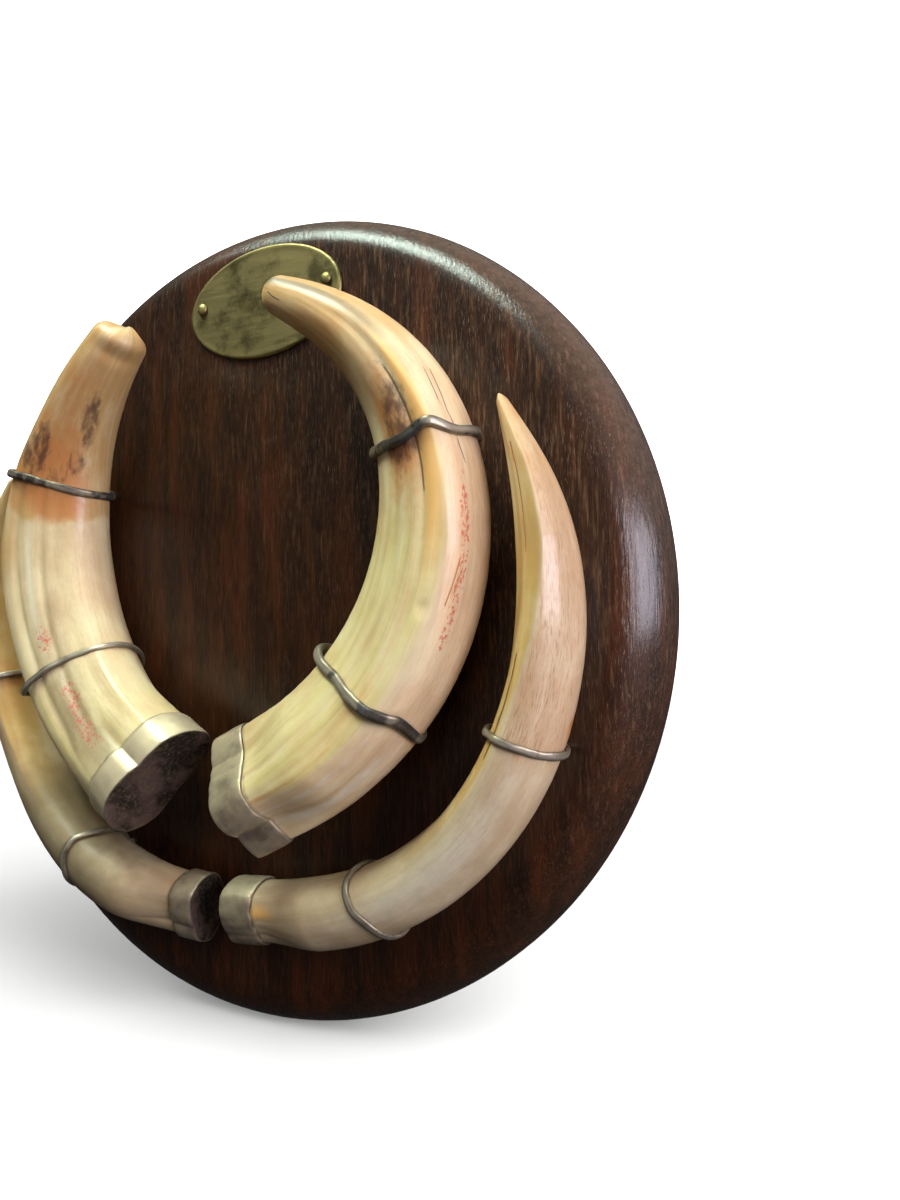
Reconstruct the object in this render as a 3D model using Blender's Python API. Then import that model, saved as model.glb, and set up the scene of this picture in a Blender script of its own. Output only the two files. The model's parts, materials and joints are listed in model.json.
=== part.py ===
"""Wall trophy: four warthog tusks wired to a round wooden board.

Two large upper tusks stand back to back like an open ring, and two slimmer lower tusks sit around them. Each
root wears a cap of sheet silver, and two flattened silver wires hold each tusk down. An oval brass plate is
pinned above them.

Frame: metres, +Z up, the viewer looks along +Y. The origin is the middle of the board's flat back.
"""

import math
from dataclasses import dataclass

import bmesh
import bpy
import numpy as np
from mathutils import Vector

MM = 0.001
GAP = 0.3 * MM                      # clearance between pieces that touch

# Board: a turned disc with a rounded front edge.
BOARD_RADIUS = 150 * MM
BOARD_THICKNESS = 25 * MM
EDGE_ROUND_RADIAL = 13 * MM         # how far the rounding reaches in from the rim
EDGE_ROUND_DEPTH = 20 * MM          # how far it reaches back from the face
BACK_CHAMFER = 1 * MM
BOARD_SEGMENTS = 60
EDGE_STEPS = 6

# Oval brass plate and its two round-headed pins.
PLATE_CENTRE = (5 * MM, 115 * MM)   # x, z
PLATE_SIZE = (70 * MM, 42 * MM)
PLATE_THICKNESS = 1.2 * MM
PLATE_BEVEL = 0.8 * MM
PLATE_SEGMENTS = 40
PIN_SPACING = 58 * MM
PIN_RISE = 2.5 * MM                 # the pins sit this far above the plate's middle
PIN_HEAD_RADIUS = 2.2 * MM
PIN_HEAD_HEIGHT = 1.2 * MM
PIN_SHANK_RADIUS = 0.75 * MM
PIN_DEPTH = 7 * MM                  # how far the shank goes into the wood
PIN_SEGMENTS = 10

# Flattened wire bands.
WIRE_WIDTH = 3.2 * MM
WIRE_THICKNESS = 1.9 * MM
WIRE_STANDOFF = 0.6 * MM            # from the tusk's surface to the wire
WIRE_DEPTH = 11 * MM                # how far each leg goes into the wood
WIRE_HOLE_RADIUS = 2.3 * MM
WIRE_STEPS = 20                     # points round the tusk, from leg to leg
WIRE_WRAP = (-58, 238)              # section angles where the wire leaves the tusk for the board
WIRE_SECTION = ((-1.0, 0.0), (-0.6, -1.0), (0.6, -1.0), (1.0, 0.0), (0.6, 1.0), (-0.6, 1.0))
HOLE_SEGMENTS = 10
HOLE_FLOOR = 1 * MM                 # hole below a leg's end

# Sheet-silver caps on the roots.
CAP_SHEET = 0.8 * MM
CAP_END_PLATE = 1.0 * MM
CAP_EDGE_BEVEL = 0.5 * MM

TUSK_SIDES = 20
SECTION_POWER = 2.2                 # 2 is an ellipse, more is squarer
TIP_RINGS = (0.45, 0.75, 0.93)      # share of the rounded tip


@dataclass
class Tusk:
    """One tusk: stations along its middle line, root to tip, and what shapes its section.

    A station is (x, z, height above the board, half width, half depth, tilt in degrees), in millimetres.
    Section angles run from 0 on the outer side of the curve through 90 facing the viewer.
    """

    name: str
    side: int                       # +1 right, -1 left
    stations: list
    ridge: list                     # (share of length, angle) of the ridge along the front
    ridge_rise: float               # share of the radius
    ridge_width: float              # degrees
    hollow: tuple                   # (angle from the ridge, width, share of the radius) on the inner side
    flank: tuple                    # the same on the outer side
    ridge_strength: list            # (share of length, strength)
    tip_share: float                # share of the length that the rounded tip takes
    tip_power: float
    cap_share: float                # share of the length under the cap
    bands: dict                     # band name: [(section angle, share of length), ...]
    rings: int = 18


UPPER_FORM = dict(
    ridge=[(0.0, 64), (0.2, 56), (0.5, 48), (0.65, 57), (0.8, 69), (1.0, 78)],
    ridge_rise=0.13, ridge_width=20, hollow=(70, 34, 0.16), flank=(-35, 14, 0.04),
    ridge_strength=[(0.0, 0.9), (0.25, 1.0), (0.7, 1.0), (0.9, 0.5), (1.0, 0.1)])
LOWER_FORM = dict(
    ridge=[(0.0, 112), (0.5, 109), (0.65, 104), (0.8, 84), (1.0, 86)],
    ridge_rise=0.14, ridge_width=24, hollow=(50, 20, 0.10), flank=(-55, 24, 0.08),
    ridge_strength=[(0.0, 0.2), (0.25, 0.4), (0.6, 1.0), (1.0, 1.0)])

TUSKS = [
    Tusk("tusk_upper_right", 1,
         [(17, -63, 26.5, 21.5, 15, 10), (44.5, -48, 24, 20, 16.5, 15), (70.2, -21.7, 19.5, 20, 17, 17),
          (82.5, 8, 17.5, 18.5, 17, 17), (81.5, 49, 18, 16, 15.5, 16), (62.5, 82, 23, 11.5, 13.5, 12),
          (46.5, 94, 28, 8.5, 10, 5), (31, 102, 31.5, 5.5, 5.5, 0)],
         tip_share=0.025, tip_power=2.0, cap_share=0.055,
         bands={"band_upper_right_tip": [(3, 0.628), (60, 0.642), (183, 0.65)],
                "band_upper_right_root": [(3, 0.267), (20, 0.27), (45, 0.275), (80, 0.259), (115, 0.26),
                                          (150, 0.257), (183, 0.272)]},
         rings=20, **UPPER_FORM),
    Tusk("tusk_upper_left", -1,
         [(-16.5, -60.5, 26.5, 21.5, 15, 10), (-37, -48, 24, 20, 16.5, 15), (-64, -23, 19.5, 20.5, 17, 17),
          (-79.5, 8.5, 17.5, 20.5, 17, 17), (-80.5, 44.5, 18, 18, 15.5, 16), (-66.5, 72, 22.5, 13, 13.5, 12),
          (-51.5, 87, 27, 10.5, 11.5, 5), (-34, 101.5, 30, 9, 9, 0)],
         tip_share=0.03, tip_power=2.8, cap_share=0.057,
         bands={"band_upper_left_tip": [(3, 0.672), (90, 0.68), (183, 0.668)],
                "band_upper_left_root": [(3, 0.31), (90, 0.292), (183, 0.268)]},
         rings=20, **UPPER_FORM),
    Tusk("tusk_lower_right", 1,
         [(6.5, -104.5, 14, 11.5, 11.5, 10), (42, -100.5, 13.5, 11.5, 12, 12), (81.6, -82.8, 13, 11.3, 12.5, 12),
          (103.2, -60.3, 12.8, 11, 12.5, 12), (120.7, 2.5, 12.8, 9.5, 12, 12), (116.4, 35, 16, 6, 8, 8),
          (108, 59.5, 19, 1.2, 1.6, 0)],
         tip_share=0.012, tip_power=1.6, cap_share=0.048,
         bands={"band_lower_right_tip": [(3, 0.56), (183, 0.558)],
                "band_lower_right_root": [(3, 0.265), (50, 0.254), (80, 0.247), (104, 0.235), (123, 0.234),
                                          (183, 0.244)]},
         **LOWER_FORM),
    Tusk("tusk_lower_left", -1,
         [(-11, -105, 13, 11.5, 10.5, 10), (-38.5, -101, 15, 11.5, 12, 12), (-73.5, -84, 14.5, 11, 12.5, 12),
          (-96, -59, 13, 10, 12.5, 12), (-117, 2.5, 12.8, 9, 12, 12), (-115.5, 35, 16, 5.5, 8, 8),
          (-107.5, 58, 19, 1.2, 1.6, 0)],
         tip_share=0.012, tip_power=1.6, cap_share=0.037,
         bands={"band_lower_left_tip": [(3, 0.615), (183, 0.62)],
                "band_lower_left_root": [(3, 0.232), (90, 0.232), (127, 0.247), (183, 0.243)]},
         **LOWER_FORM),
]


# ---------------------------------------------------------------------------------------------- helpers

def clear_scene():
    for item in list(bpy.data.objects):
        bpy.data.objects.remove(item, do_unlink=True)


def srgb(hex_colour):
    """Linear RGBA of an sRGB hex colour."""
    values = [int(hex_colour[i:i + 2], 16) / 255 for i in (1, 3, 5)]
    return [v / 12.92 if v <= 0.04045 else ((v + 0.055) / 1.055) ** 2.4 for v in values] + [1.0]


def finish(name, hex_colour, roughness, metallic=0.0):
    material = bpy.data.materials.get(name) or bpy.data.materials.new(name)
    material.use_nodes = True
    shader = material.node_tree.nodes["Principled BSDF"]
    shader.inputs["Base Color"].default_value = srgb(hex_colour)
    shader.inputs["Roughness"].default_value = roughness
    shader.inputs["Metallic"].default_value = metallic
    return material


def stained_wood():
    return finish("stained_wood", "#35201a", 0.35)


def tusk_ivory():
    return finish("tusk_ivory", "#dfcb9e", 0.38)


def tarnished_silver():
    return finish("tarnished_silver", "#978c7c", 0.4, 1.0)


def aged_brass():
    return finish("aged_brass", "#7a6a34", 0.42, 1.0)


def new_object(name, mesh_data, material, crease_degrees=40):
    mesh = bpy.data.meshes.new(name)
    mesh_data.to_mesh(mesh)
    mesh_data.free()
    mesh.shade_smooth()
    mesh.set_sharp_from_angle(angle=math.radians(crease_degrees))
    mesh.materials.append(material)
    item = bpy.data.objects.new(name, mesh)
    bpy.context.scene.collection.objects.link(item)
    return item


def loft(rings, start=None, end=None):
    """A closed skin through rings of points, with a middle point or a flat fan at each end."""
    skin = bmesh.new()
    loops = [[skin.verts.new(point) for point in ring] for ring in rings]
    for near, far in zip(loops, loops[1:]):
        for i, corner in enumerate(near):
            j = (i + 1) % len(near)
            skin.faces.new((corner, near[j], far[j], far[i]))
    for loop, point, turn in ((loops[0], start, -1), (loops[-1], end, 1)):
        if point is None:
            point = sum((v.co for v in loop), Vector()) / len(loop)
        middle = skin.verts.new(point)
        for i, corner in enumerate(loop):
            pair = (corner, loop[(i + 1) % len(loop)])
            skin.faces.new((*pair[::turn], middle))
    bmesh.ops.recalc_face_normals(skin, faces=skin.faces)
    return skin


def cylinder_cutter(mesh_data, x, z, radius, y_low, y_high, segments):
    """Adds a closed cylinder along Y to a cutter."""
    ends = []
    for y in (y_low, y_high):
        ends.append([mesh_data.verts.new((x + radius * math.cos(2 * math.pi * i / segments), y,
                                          z + radius * math.sin(2 * math.pi * i / segments)))
                     for i in range(segments)])
    for i in range(segments):
        j = (i + 1) % segments
        mesh_data.faces.new((ends[0][i], ends[0][j], ends[1][j], ends[1][i]))
    mesh_data.faces.new(ends[0][::-1])
    mesh_data.faces.new(ends[1])


def cut(target, mesh_data, name):
    """Cuts a set of closed shapes out of an object with a live Boolean."""
    bmesh.ops.recalc_face_normals(mesh_data, faces=mesh_data.faces)
    mesh = bpy.data.meshes.new(name)
    mesh_data.to_mesh(mesh)
    mesh_data.free()
    cutter = bpy.data.objects.new(name, mesh)
    bpy.context.scene.collection.objects.link(cutter)
    cutter.hide_render = True
    cutter.display_type = "WIRE"
    modifier = target.modifiers.new(name, "BOOLEAN")
    modifier.operation = "DIFFERENCE"
    modifier.object = cutter


# --------------------------------------------------------------------------------------- tusk geometry

def interpolate(pairs, at):
    return float(np.interp(at, [p[0] for p in pairs], [p[1] for p in pairs]))


def bump(angle, centre_degrees, width_degrees):
    """1 at the centre, falling off smoothly on both sides."""
    apart = (angle - math.radians(centre_degrees) + math.pi) % (2 * math.pi) - math.pi
    return math.exp(-(apart / math.radians(width_degrees)) ** 2)


class Spine:
    """A natural cubic spline through a tusk's stations, from 0 at the root to 1 at the tip."""

    def __init__(self, stations):
        self.values = np.array(stations, float)
        steps = np.linalg.norm(np.diff(self.values[:, :3], axis=0), axis=1)
        self.length = float(steps.sum()) * MM
        self.at = np.concatenate(([0.0], np.cumsum(steps))) / steps.sum()
        count = len(self.at)
        widths = np.diff(self.at)
        matrix, right = np.eye(count), np.zeros_like(self.values)
        for i in range(1, count - 1):
            matrix[i, i - 1:i + 2] = widths[i - 1], 2 * (widths[i - 1] + widths[i]), widths[i]
            right[i] = 6 * ((self.values[i + 1] - self.values[i]) / widths[i]
                            - (self.values[i] - self.values[i - 1]) / widths[i - 1])
        self.bend = np.linalg.solve(matrix, right)

    def read(self, share):
        """Values and their slopes at a share of the length."""
        i = int(np.clip(np.searchsorted(self.at, share) - 1, 0, len(self.at) - 2))
        width = self.at[i + 1] - self.at[i]
        low, high = (self.at[i + 1] - share) / width, (share - self.at[i]) / width
        value = (low * self.values[i] + high * self.values[i + 1]
                 + ((low ** 3 - low) * self.bend[i] + (high ** 3 - high) * self.bend[i + 1]) * width ** 2 / 6)
        slope = ((self.values[i + 1] - self.values[i]) / width
                 + ((3 * high ** 2 - 1) * self.bend[i + 1] - (3 * low ** 2 - 1) * self.bend[i]) * width / 6)
        return value, slope

    def frame(self, share, side):
        """Middle point, forward, outward and frontward directions, and the station's own values."""
        value, slope = self.read(share)
        middle = Vector((value[0] * MM, -BOARD_THICKNESS - value[2] * MM, value[1] * MM))
        forward = Vector((slope[0], -slope[2], slope[1])).normalized()
        front = Vector((0, -1, 0))
        outward = forward.cross(front).normalized() * side
        front = (front - forward * front.dot(forward)).normalized()
        return middle, forward, outward, front, value


def section_radius(tusk, share, value, angle):
    """Radius of the tusk's section, in metres, at an angle given in radians."""
    half_width, half_depth, tilt = value[3] * MM, value[4] * MM, math.radians(value[5])
    radius = ((abs(math.cos(angle - tilt)) / half_width) ** SECTION_POWER
              + (abs(math.sin(angle - tilt)) / half_depth) ** SECTION_POWER) ** (-1 / SECTION_POWER)
    strength = interpolate(tusk.ridge_strength, share)
    ridge = interpolate(tusk.ridge, share)
    shape = 1 + strength * (tusk.ridge_rise * bump(angle, ridge, tusk.ridge_width)
                            - tusk.hollow[2] * bump(angle, ridge + tusk.hollow[0], tusk.hollow[1])
                            - tusk.flank[2] * bump(angle, ridge + tusk.flank[0], tusk.flank[1]))
    tip_start = 1 - tusk.tip_share
    if share > tip_start:
        along = min((share - tip_start) / tusk.tip_share, 1.0)
        shape *= (1 - along ** tusk.tip_power) ** (1 / tusk.tip_power)
    return radius * shape


def section_angles(tusk, share):
    """The ring's angles, starting on the ridge so that the ridge keeps its crest."""
    start = math.radians(interpolate(tusk.ridge, share))
    return [start + 2 * math.pi * i / TUSK_SIDES for i in range(TUSK_SIDES)]


def section_outline(tusk, share, value, grow=0.0):
    """The section as flat points (outward, front), grown evenly by an amount."""
    flat = []
    for angle in section_angles(tusk, share):
        radius = section_radius(tusk, share, value, angle)
        flat.append(np.array((radius * math.cos(angle), radius * math.sin(angle))))
    grown = []
    for i, point in enumerate(flat):
        before, after = point - flat[i - 1], flat[(i + 1) % len(flat)] - point
        normals = [np.array((edge[1], -edge[0])) / np.linalg.norm(edge) for edge in (before, after)]
        along = normals[0] + normals[1]
        along /= np.linalg.norm(along)
        grown.append(point + along * grow / max(0.5, float(along @ normals[0])))
    return grown


def section_ring(tusk, spine, share, grow=0.0, slide=0.0):
    """The section's points in space, slid along the tusk by an amount where it lies past the root."""
    middle, forward, outward, front, value = spine.frame(share, tusk.side)
    middle = middle + forward * slide
    return [middle + outward * p[0] + front * p[1] for p in section_outline(tusk, share, value, grow)]


def surface_point(tusk, spine, share, angle):
    middle, _, outward, front, value = spine.frame(share, tusk.side)
    radius = section_radius(tusk, share, value, angle)
    return middle + outward * (radius * math.cos(angle)) + front * (radius * math.sin(angle))


def build_tusk(tusk, spine):
    """The tusk itself, solid from its flat root to its tip."""
    cap = tusk.cap_share
    tip_start = 1 - tusk.tip_share
    shares = [0.0, cap / 2] + list(np.linspace(cap, tip_start, tusk.rings))
    shares += [tip_start + tusk.tip_share * share for share in TIP_RINGS]
    rings = [section_ring(tusk, spine, share) for share in shares]
    seat = -BOARD_THICKNESS - GAP
    for ring in rings:
        for point in ring:
            point.y = min(point.y, seat)
    skin = loft(rings, end=spine.frame(1.0, tusk.side)[0])
    return new_object(tusk.name, skin, tusk_ivory(), 60)


def build_cap(tusk, spine):
    """A cup of sheet silver over the root: a band round the side and a closed end plate."""
    inner, outer = GAP, GAP + CAP_SHEET
    half, edge = tusk.cap_share / 2, tusk.cap_share
    end = -GAP - CAP_END_PLATE
    rings = [section_ring(tusk, spine, 0.0, outer - CAP_EDGE_BEVEL, end),
             section_ring(tusk, spine, 0.0, outer, end + CAP_EDGE_BEVEL),
             section_ring(tusk, spine, half, outer),
             section_ring(tusk, spine, edge, outer),
             section_ring(tusk, spine, edge, inner),
             section_ring(tusk, spine, half, inner),
             section_ring(tusk, spine, 0.0, inner, -GAP)]
    return new_object(tusk.name.replace("tusk", "cap"), loft(rings), tarnished_silver(), 35)


def band_route(tusk, spine, route):
    """Points of the wire's middle line with the direction away from the tusk at each."""
    offset = WIRE_STANDOFF + WIRE_THICKNESS / 2
    points = []
    for step in range(WIRE_STEPS):
        degrees = WIRE_WRAP[0] + (WIRE_WRAP[1] - WIRE_WRAP[0]) * step / (WIRE_STEPS - 1)
        share, angle = interpolate(route, degrees), math.radians(degrees)
        here = surface_point(tusk, spine, share, angle)
        around = surface_point(tusk, spine, share, angle + 0.03) - surface_point(tusk, spine, share, angle - 0.03)
        forward = spine.frame(share, tusk.side)[1]
        away = forward.cross(around).normalized() * tusk.side
        points.append((here + away * offset, away))
    foot = -BOARD_THICKNESS + WIRE_DEPTH
    first, last = points[0], points[-1]
    legs = []
    for point, away in (first, last):
        flat = Vector((away.x, 0, away.z)).normalized()
        top = (point.y - BOARD_THICKNESS) / 2
        legs.append([(Vector((point.x, y, point.z)), flat) for y in (foot, top)])
    return legs[0] + points + legs[1][::-1]


def build_band(name, route):
    """Sweeps the flattened wire's section along a route."""
    rings = []
    for i, (point, away) in enumerate(route):
        along = (route[min(i + 1, len(route) - 1)][0] - route[max(i - 1, 0)][0]).normalized()
        across = along.cross(away).normalized()
        lift = across.cross(along).normalized()
        rings.append([point + across * (u * WIRE_WIDTH / 2) + lift * (v * WIRE_THICKNESS / 2)
                      for u, v in WIRE_SECTION])
    return new_object(name, loft(rings), tarnished_silver(), 50)


# -------------------------------------------------------------------------------- board, plate and pins

def build_board(wire_feet, pin_feet):
    """The turned board, with a blind hole for each wire leg and each pin."""
    flat_radius = BOARD_RADIUS - EDGE_ROUND_RADIAL
    profile = [(BOARD_RADIUS - BACK_CHAMFER, 0.0), (BOARD_RADIUS, -BACK_CHAMFER)]
    for step in range(EDGE_STEPS + 1):
        angle = math.pi / 2 * step / EDGE_STEPS
        profile.append((flat_radius + EDGE_ROUND_RADIAL * math.cos(angle),
                        -BOARD_THICKNESS + EDGE_ROUND_DEPTH * (1 - math.sin(angle))))
    rings = [[Vector((radius * math.cos(2 * math.pi * i / BOARD_SEGMENTS), y,
                      radius * math.sin(2 * math.pi * i / BOARD_SEGMENTS))) for i in range(BOARD_SEGMENTS)]
             for radius, y in profile]
    board = new_object("board", loft(rings), stained_wood(), 30)
    holes = bmesh.new()
    for x, z in wire_feet:
        cylinder_cutter(holes, x, z, WIRE_HOLE_RADIUS, -BOARD_THICKNESS - 10 * GAP,
                        -BOARD_THICKNESS + WIRE_DEPTH + HOLE_FLOOR, HOLE_SEGMENTS)
    for x, z in pin_feet:
        cylinder_cutter(holes, x, z, PIN_SHANK_RADIUS + GAP, -BOARD_THICKNESS - 10 * GAP,
                        -BOARD_THICKNESS + PIN_DEPTH + HOLE_FLOOR, HOLE_SEGMENTS)
    cut(board, holes, "board_holes")
    return board


def build_plate(pin_feet):
    """The oval brass plate with a bevelled rim and a hole for each pin."""
    back = -BOARD_THICKNESS - GAP
    front = back - PLATE_THICKNESS
    rings = []
    for inset, y in ((0.0, back), (0.0, front + PLATE_BEVEL / 2), (PLATE_BEVEL, front)):
        rings.append([Vector((PLATE_CENTRE[0] + (PLATE_SIZE[0] / 2 - inset) * math.cos(angle), y,
                              PLATE_CENTRE[1] + (PLATE_SIZE[1] / 2 - inset) * math.sin(angle)))
                      for angle in (2 * math.pi * i / PLATE_SEGMENTS for i in range(PLATE_SEGMENTS))])
    plate = new_object("name_plate", loft(rings), aged_brass(), 30)
    holes = bmesh.new()
    for x, z in pin_feet:
        cylinder_cutter(holes, x, z, PIN_SHANK_RADIUS + GAP, front - PLATE_THICKNESS, back + PLATE_THICKNESS,
                        HOLE_SEGMENTS)
    cut(plate, holes, "plate_holes")
    return plate


def build_pin(name, x, z):
    """A small nail: a domed head on the plate and a shank in the wood."""
    seat = -BOARD_THICKNESS - 2 * GAP - PLATE_THICKNESS
    profile = [(PIN_SHANK_RADIUS * 0.3, -BOARD_THICKNESS + PIN_DEPTH),
               (PIN_SHANK_RADIUS, -BOARD_THICKNESS + PIN_DEPTH * 0.7),
               (PIN_SHANK_RADIUS, seat), (PIN_HEAD_RADIUS, seat),
               (PIN_HEAD_RADIUS * 0.9, seat - PIN_HEAD_HEIGHT * 0.55),
               (PIN_HEAD_RADIUS * 0.5, seat - PIN_HEAD_HEIGHT * 0.92)]
    rings = [[Vector((x + radius * math.cos(2 * math.pi * i / PIN_SEGMENTS), y,
                      z + radius * math.sin(2 * math.pi * i / PIN_SEGMENTS))) for i in range(PIN_SEGMENTS)]
             for radius, y in profile]
    tip = Vector((x, seat - PIN_HEAD_HEIGHT, z))
    return new_object(name, loft(rings, end=tip), aged_brass(), 50)


def main():
    clear_scene()
    wire_feet = []
    for tusk in TUSKS:
        spine = Spine(tusk.stations)
        build_tusk(tusk, spine)
        build_cap(tusk, spine)
        for name, pairs in tusk.bands.items():
            route = band_route(tusk, spine, pairs)
            build_band(name, route)
            wire_feet += [(route[0][0].x, route[0][0].z), (route[-1][0].x, route[-1][0].z)]
    pins = {"plate_pin_left": -PIN_SPACING / 2, "plate_pin_right": PIN_SPACING / 2}
    pin_feet = [(PLATE_CENTRE[0] + shift, PLATE_CENTRE[1] + PIN_RISE) for shift in pins.values()]
    for name, (x, z) in zip(pins, pin_feet):
        build_pin(name, x, z)
    build_plate(pin_feet)
    build_board(wire_feet, pin_feet)


main()
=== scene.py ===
"""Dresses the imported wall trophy: warthog tusks, silver caps and wires, brass plate, turned board and the studio.

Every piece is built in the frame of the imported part: metres, +Z up, the viewer looks along +Y, and the origin is
the middle of the board's flat back. Sizes are written in millimetres and turned to metres with MM.
"""

import sys

import json
import logging
import math
from dataclasses import dataclass, field, replace
from enum import Enum

import bpy
import numpy as np
from mathutils import Matrix, Vector

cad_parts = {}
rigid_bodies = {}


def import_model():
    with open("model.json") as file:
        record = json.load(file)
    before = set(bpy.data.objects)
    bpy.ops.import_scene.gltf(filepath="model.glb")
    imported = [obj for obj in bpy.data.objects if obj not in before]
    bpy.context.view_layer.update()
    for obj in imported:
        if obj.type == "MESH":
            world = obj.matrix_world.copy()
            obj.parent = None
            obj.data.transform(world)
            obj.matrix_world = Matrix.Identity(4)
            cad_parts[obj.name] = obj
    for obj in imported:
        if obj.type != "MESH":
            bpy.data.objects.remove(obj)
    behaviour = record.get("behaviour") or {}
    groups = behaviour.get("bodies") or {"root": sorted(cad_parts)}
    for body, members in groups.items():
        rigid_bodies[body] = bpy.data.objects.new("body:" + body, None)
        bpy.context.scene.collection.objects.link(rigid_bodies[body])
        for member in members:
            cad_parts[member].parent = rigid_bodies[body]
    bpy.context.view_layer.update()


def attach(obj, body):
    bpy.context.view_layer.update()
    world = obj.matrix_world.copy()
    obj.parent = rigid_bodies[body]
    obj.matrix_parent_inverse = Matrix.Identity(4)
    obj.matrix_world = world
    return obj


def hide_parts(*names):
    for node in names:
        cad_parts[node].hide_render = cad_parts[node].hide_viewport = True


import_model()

MM = 0.001
LOG = logging.getLogger("trophy")

# Short names for types.
Pairs = tuple[tuple[float, float], ...]
Array = np.ndarray
Item = bpy.types.Object
Material = bpy.types.Material
Tree = bpy.types.NodeTree
Node = bpy.types.Node
Socket = bpy.types.NodeSocket

# The nodes that the trees and materials use most.
MATH, VECTOR_MATH, RANGE = "ShaderNodeMath", "ShaderNodeVectorMath", "ShaderNodeMapRange"
MIX, NOISE, ATTRIBUTE = "ShaderNodeMix", "ShaderNodeTexNoise", "ShaderNodeAttribute"


# ------------------------------------------------------------------------------------------------ helpers

def linear(hex_colour: str) -> tuple[float, float, float, float]:
    """Turns an sRGB hex colour to linear light.

    Args:
        hex_colour: A colour such as "#d8c98a".

    Returns:
        Red, green, blue and alpha, in linear light.
    """
    channels = [int(hex_colour[i:i + 2], 16) / 255 for i in (1, 3, 5)]
    light = [c / 12.92 if c <= 0.04045 else ((c + 0.055) / 1.055) ** 2.4 for c in channels]
    return (light[0], light[1], light[2], 1.0)


def add(tree: Tree, kind: str, inputs: dict | tuple = (), **settings) -> Socket | None:
    """Adds a node to a tree with its settings and links.

    Args:
        tree: The tree to add to.
        kind: The node's type name.
        inputs: Values by socket name, or a tuple of them in the order of the live sockets. A socket is linked.
        **settings: The node's own properties.

    Returns:
        The node's first live output, if it has one.
    """
    node = tree.nodes.new(kind)
    for name, value in settings.items():
        setattr(node, name, value)
    if not isinstance(inputs, dict):
        live = [number for number, socket in enumerate(node.inputs) if socket.enabled]
        inputs = dict(zip(live, inputs))
    for name, value in inputs.items():
        if isinstance(value, Socket):
            tree.links.new(value, node.inputs[name])
        else:
            node.inputs[name].default_value = value
    return next((socket for socket in node.outputs if socket.enabled), None)


def across(pairs: Pairs, at: Array) -> Array:
    """Reads a value along a line of (position, value) pairs, straight between them."""
    return np.interp(at, [pair[0] for pair in pairs], [pair[1] for pair in pairs])


def bump(angle: Array, centre: Array | float, width: float) -> Array:
    """A smooth hump round a section angle.

    Args:
        angle: Section angles in degrees.
        centre: The hump's middle, in degrees.
        width: Degrees from the middle to where the hump has fallen to a third.

    Returns:
        1 at the centre, falling to 0 on both sides.
    """
    apart = (angle - centre + 180) % 360 - 180
    return np.exp(-(apart / width) ** 2)


def crease(angle: Array, centre: Array | float, width: float) -> Array:
    """Like bump(), but with a sharp crest.

    Args:
        angle: Section angles in degrees.
        centre: The crest, in degrees.
        width: Degrees from the crest to where it has fallen to a third.

    Returns:
        1 at the crest, falling to 0 on both sides.
    """
    apart = (angle - centre + 180) % 360 - 180
    return np.exp(-np.sqrt(apart ** 2 + 1.0) / width) * math.exp(1 / width)


def smooth(low: float, high: float, value: Array) -> Array:
    """A smooth step from 0 at low to 1 at high; it falls instead where high is below low."""
    share = np.clip((value - low) / (high - low), 0.0, 1.0)
    return share * share * (3 - 2 * share)


def unit(rows: Array) -> Array:
    """Makes each row a vector of length 1."""
    return rows / np.linalg.norm(rows, axis=1)[:, None]


def on_circle(angle: Array) -> Array:
    """The points of a circle of radius 1 at angles in degrees, one row each."""
    turned = np.radians(angle)
    return np.stack([np.cos(turned), np.sin(turned)], axis=1)


def soften(values: Array, reach: float, count: int, mode: str) -> Array:
    """Evens out a row of numbers with a bell-shaped window.

    Args:
        values: The numbers.
        reach: How far down the bell its ends lie: 2 is nearly nothing left, 1 about a third.
        count: How many numbers the window spans. Odd.
        mode: What lies past both ends: "wrap" or "edge".

    Returns:
        As many numbers, softened.
    """
    bell = np.exp(-np.linspace(-reach, reach, count) ** 2)
    return np.convolve(np.pad(values, count // 2, mode=mode), bell / bell.sum(), mode="valid")


def ripple(places: Array, seed: int, size: float) -> Array:
    """Smooth irregular waves in space, made of a few sines with seeded directions.

    Args:
        places: Points, in millimetres.
        seed: Picks the pattern.
        size: The length of the longest wave, in millimetres.

    Returns:
        One value for each point, about -1 to 1.
    """
    chance = np.random.default_rng(seed)
    total = np.zeros(len(places))
    for step in range(9):
        direction = chance.normal(size=3)
        direction *= 2 * math.pi * (1 + step * 0.35) / (size * np.linalg.norm(direction))
        total += np.sin(places @ direction + chance.uniform(0, 2 * math.pi)) / (1 + step * 0.25)
    return total / 3


def in_scene(name: str, data: bpy.types.ID) -> Item:
    """Makes an object and puts it in the scene.

    Args:
        name: The object's name.
        data: Its mesh, light or camera.

    Returns:
        The new object, at the origin.
    """
    item = bpy.data.objects.new(name, data)
    bpy.context.scene.collection.objects.link(item)
    return item


def shade(mesh: bpy.types.Mesh, sharp_degrees: float) -> None:
    """Shades a mesh smooth, but for edges sharper than an angle."""
    mesh.shade_smooth()
    mesh.set_sharp_from_angle(angle=math.radians(sharp_degrees))


def mesh_object(name: str, points: Array, faces: list, sharp_degrees: float = 40.0) -> Item:
    """Makes an object from points and faces.

    Args:
        name: The object's name.
        points: One row of x, y and z for each point.
        faces: Tuples of point numbers.
        sharp_degrees: Edges sharper than this stay sharp.

    Returns:
        The new object, at the origin.
    """
    mesh = bpy.data.meshes.new(name)
    mesh.from_pydata(np.asarray(points, float).tolist(), [], faces)
    shade(mesh, sharp_degrees)
    return in_scene(name, mesh)


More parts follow.
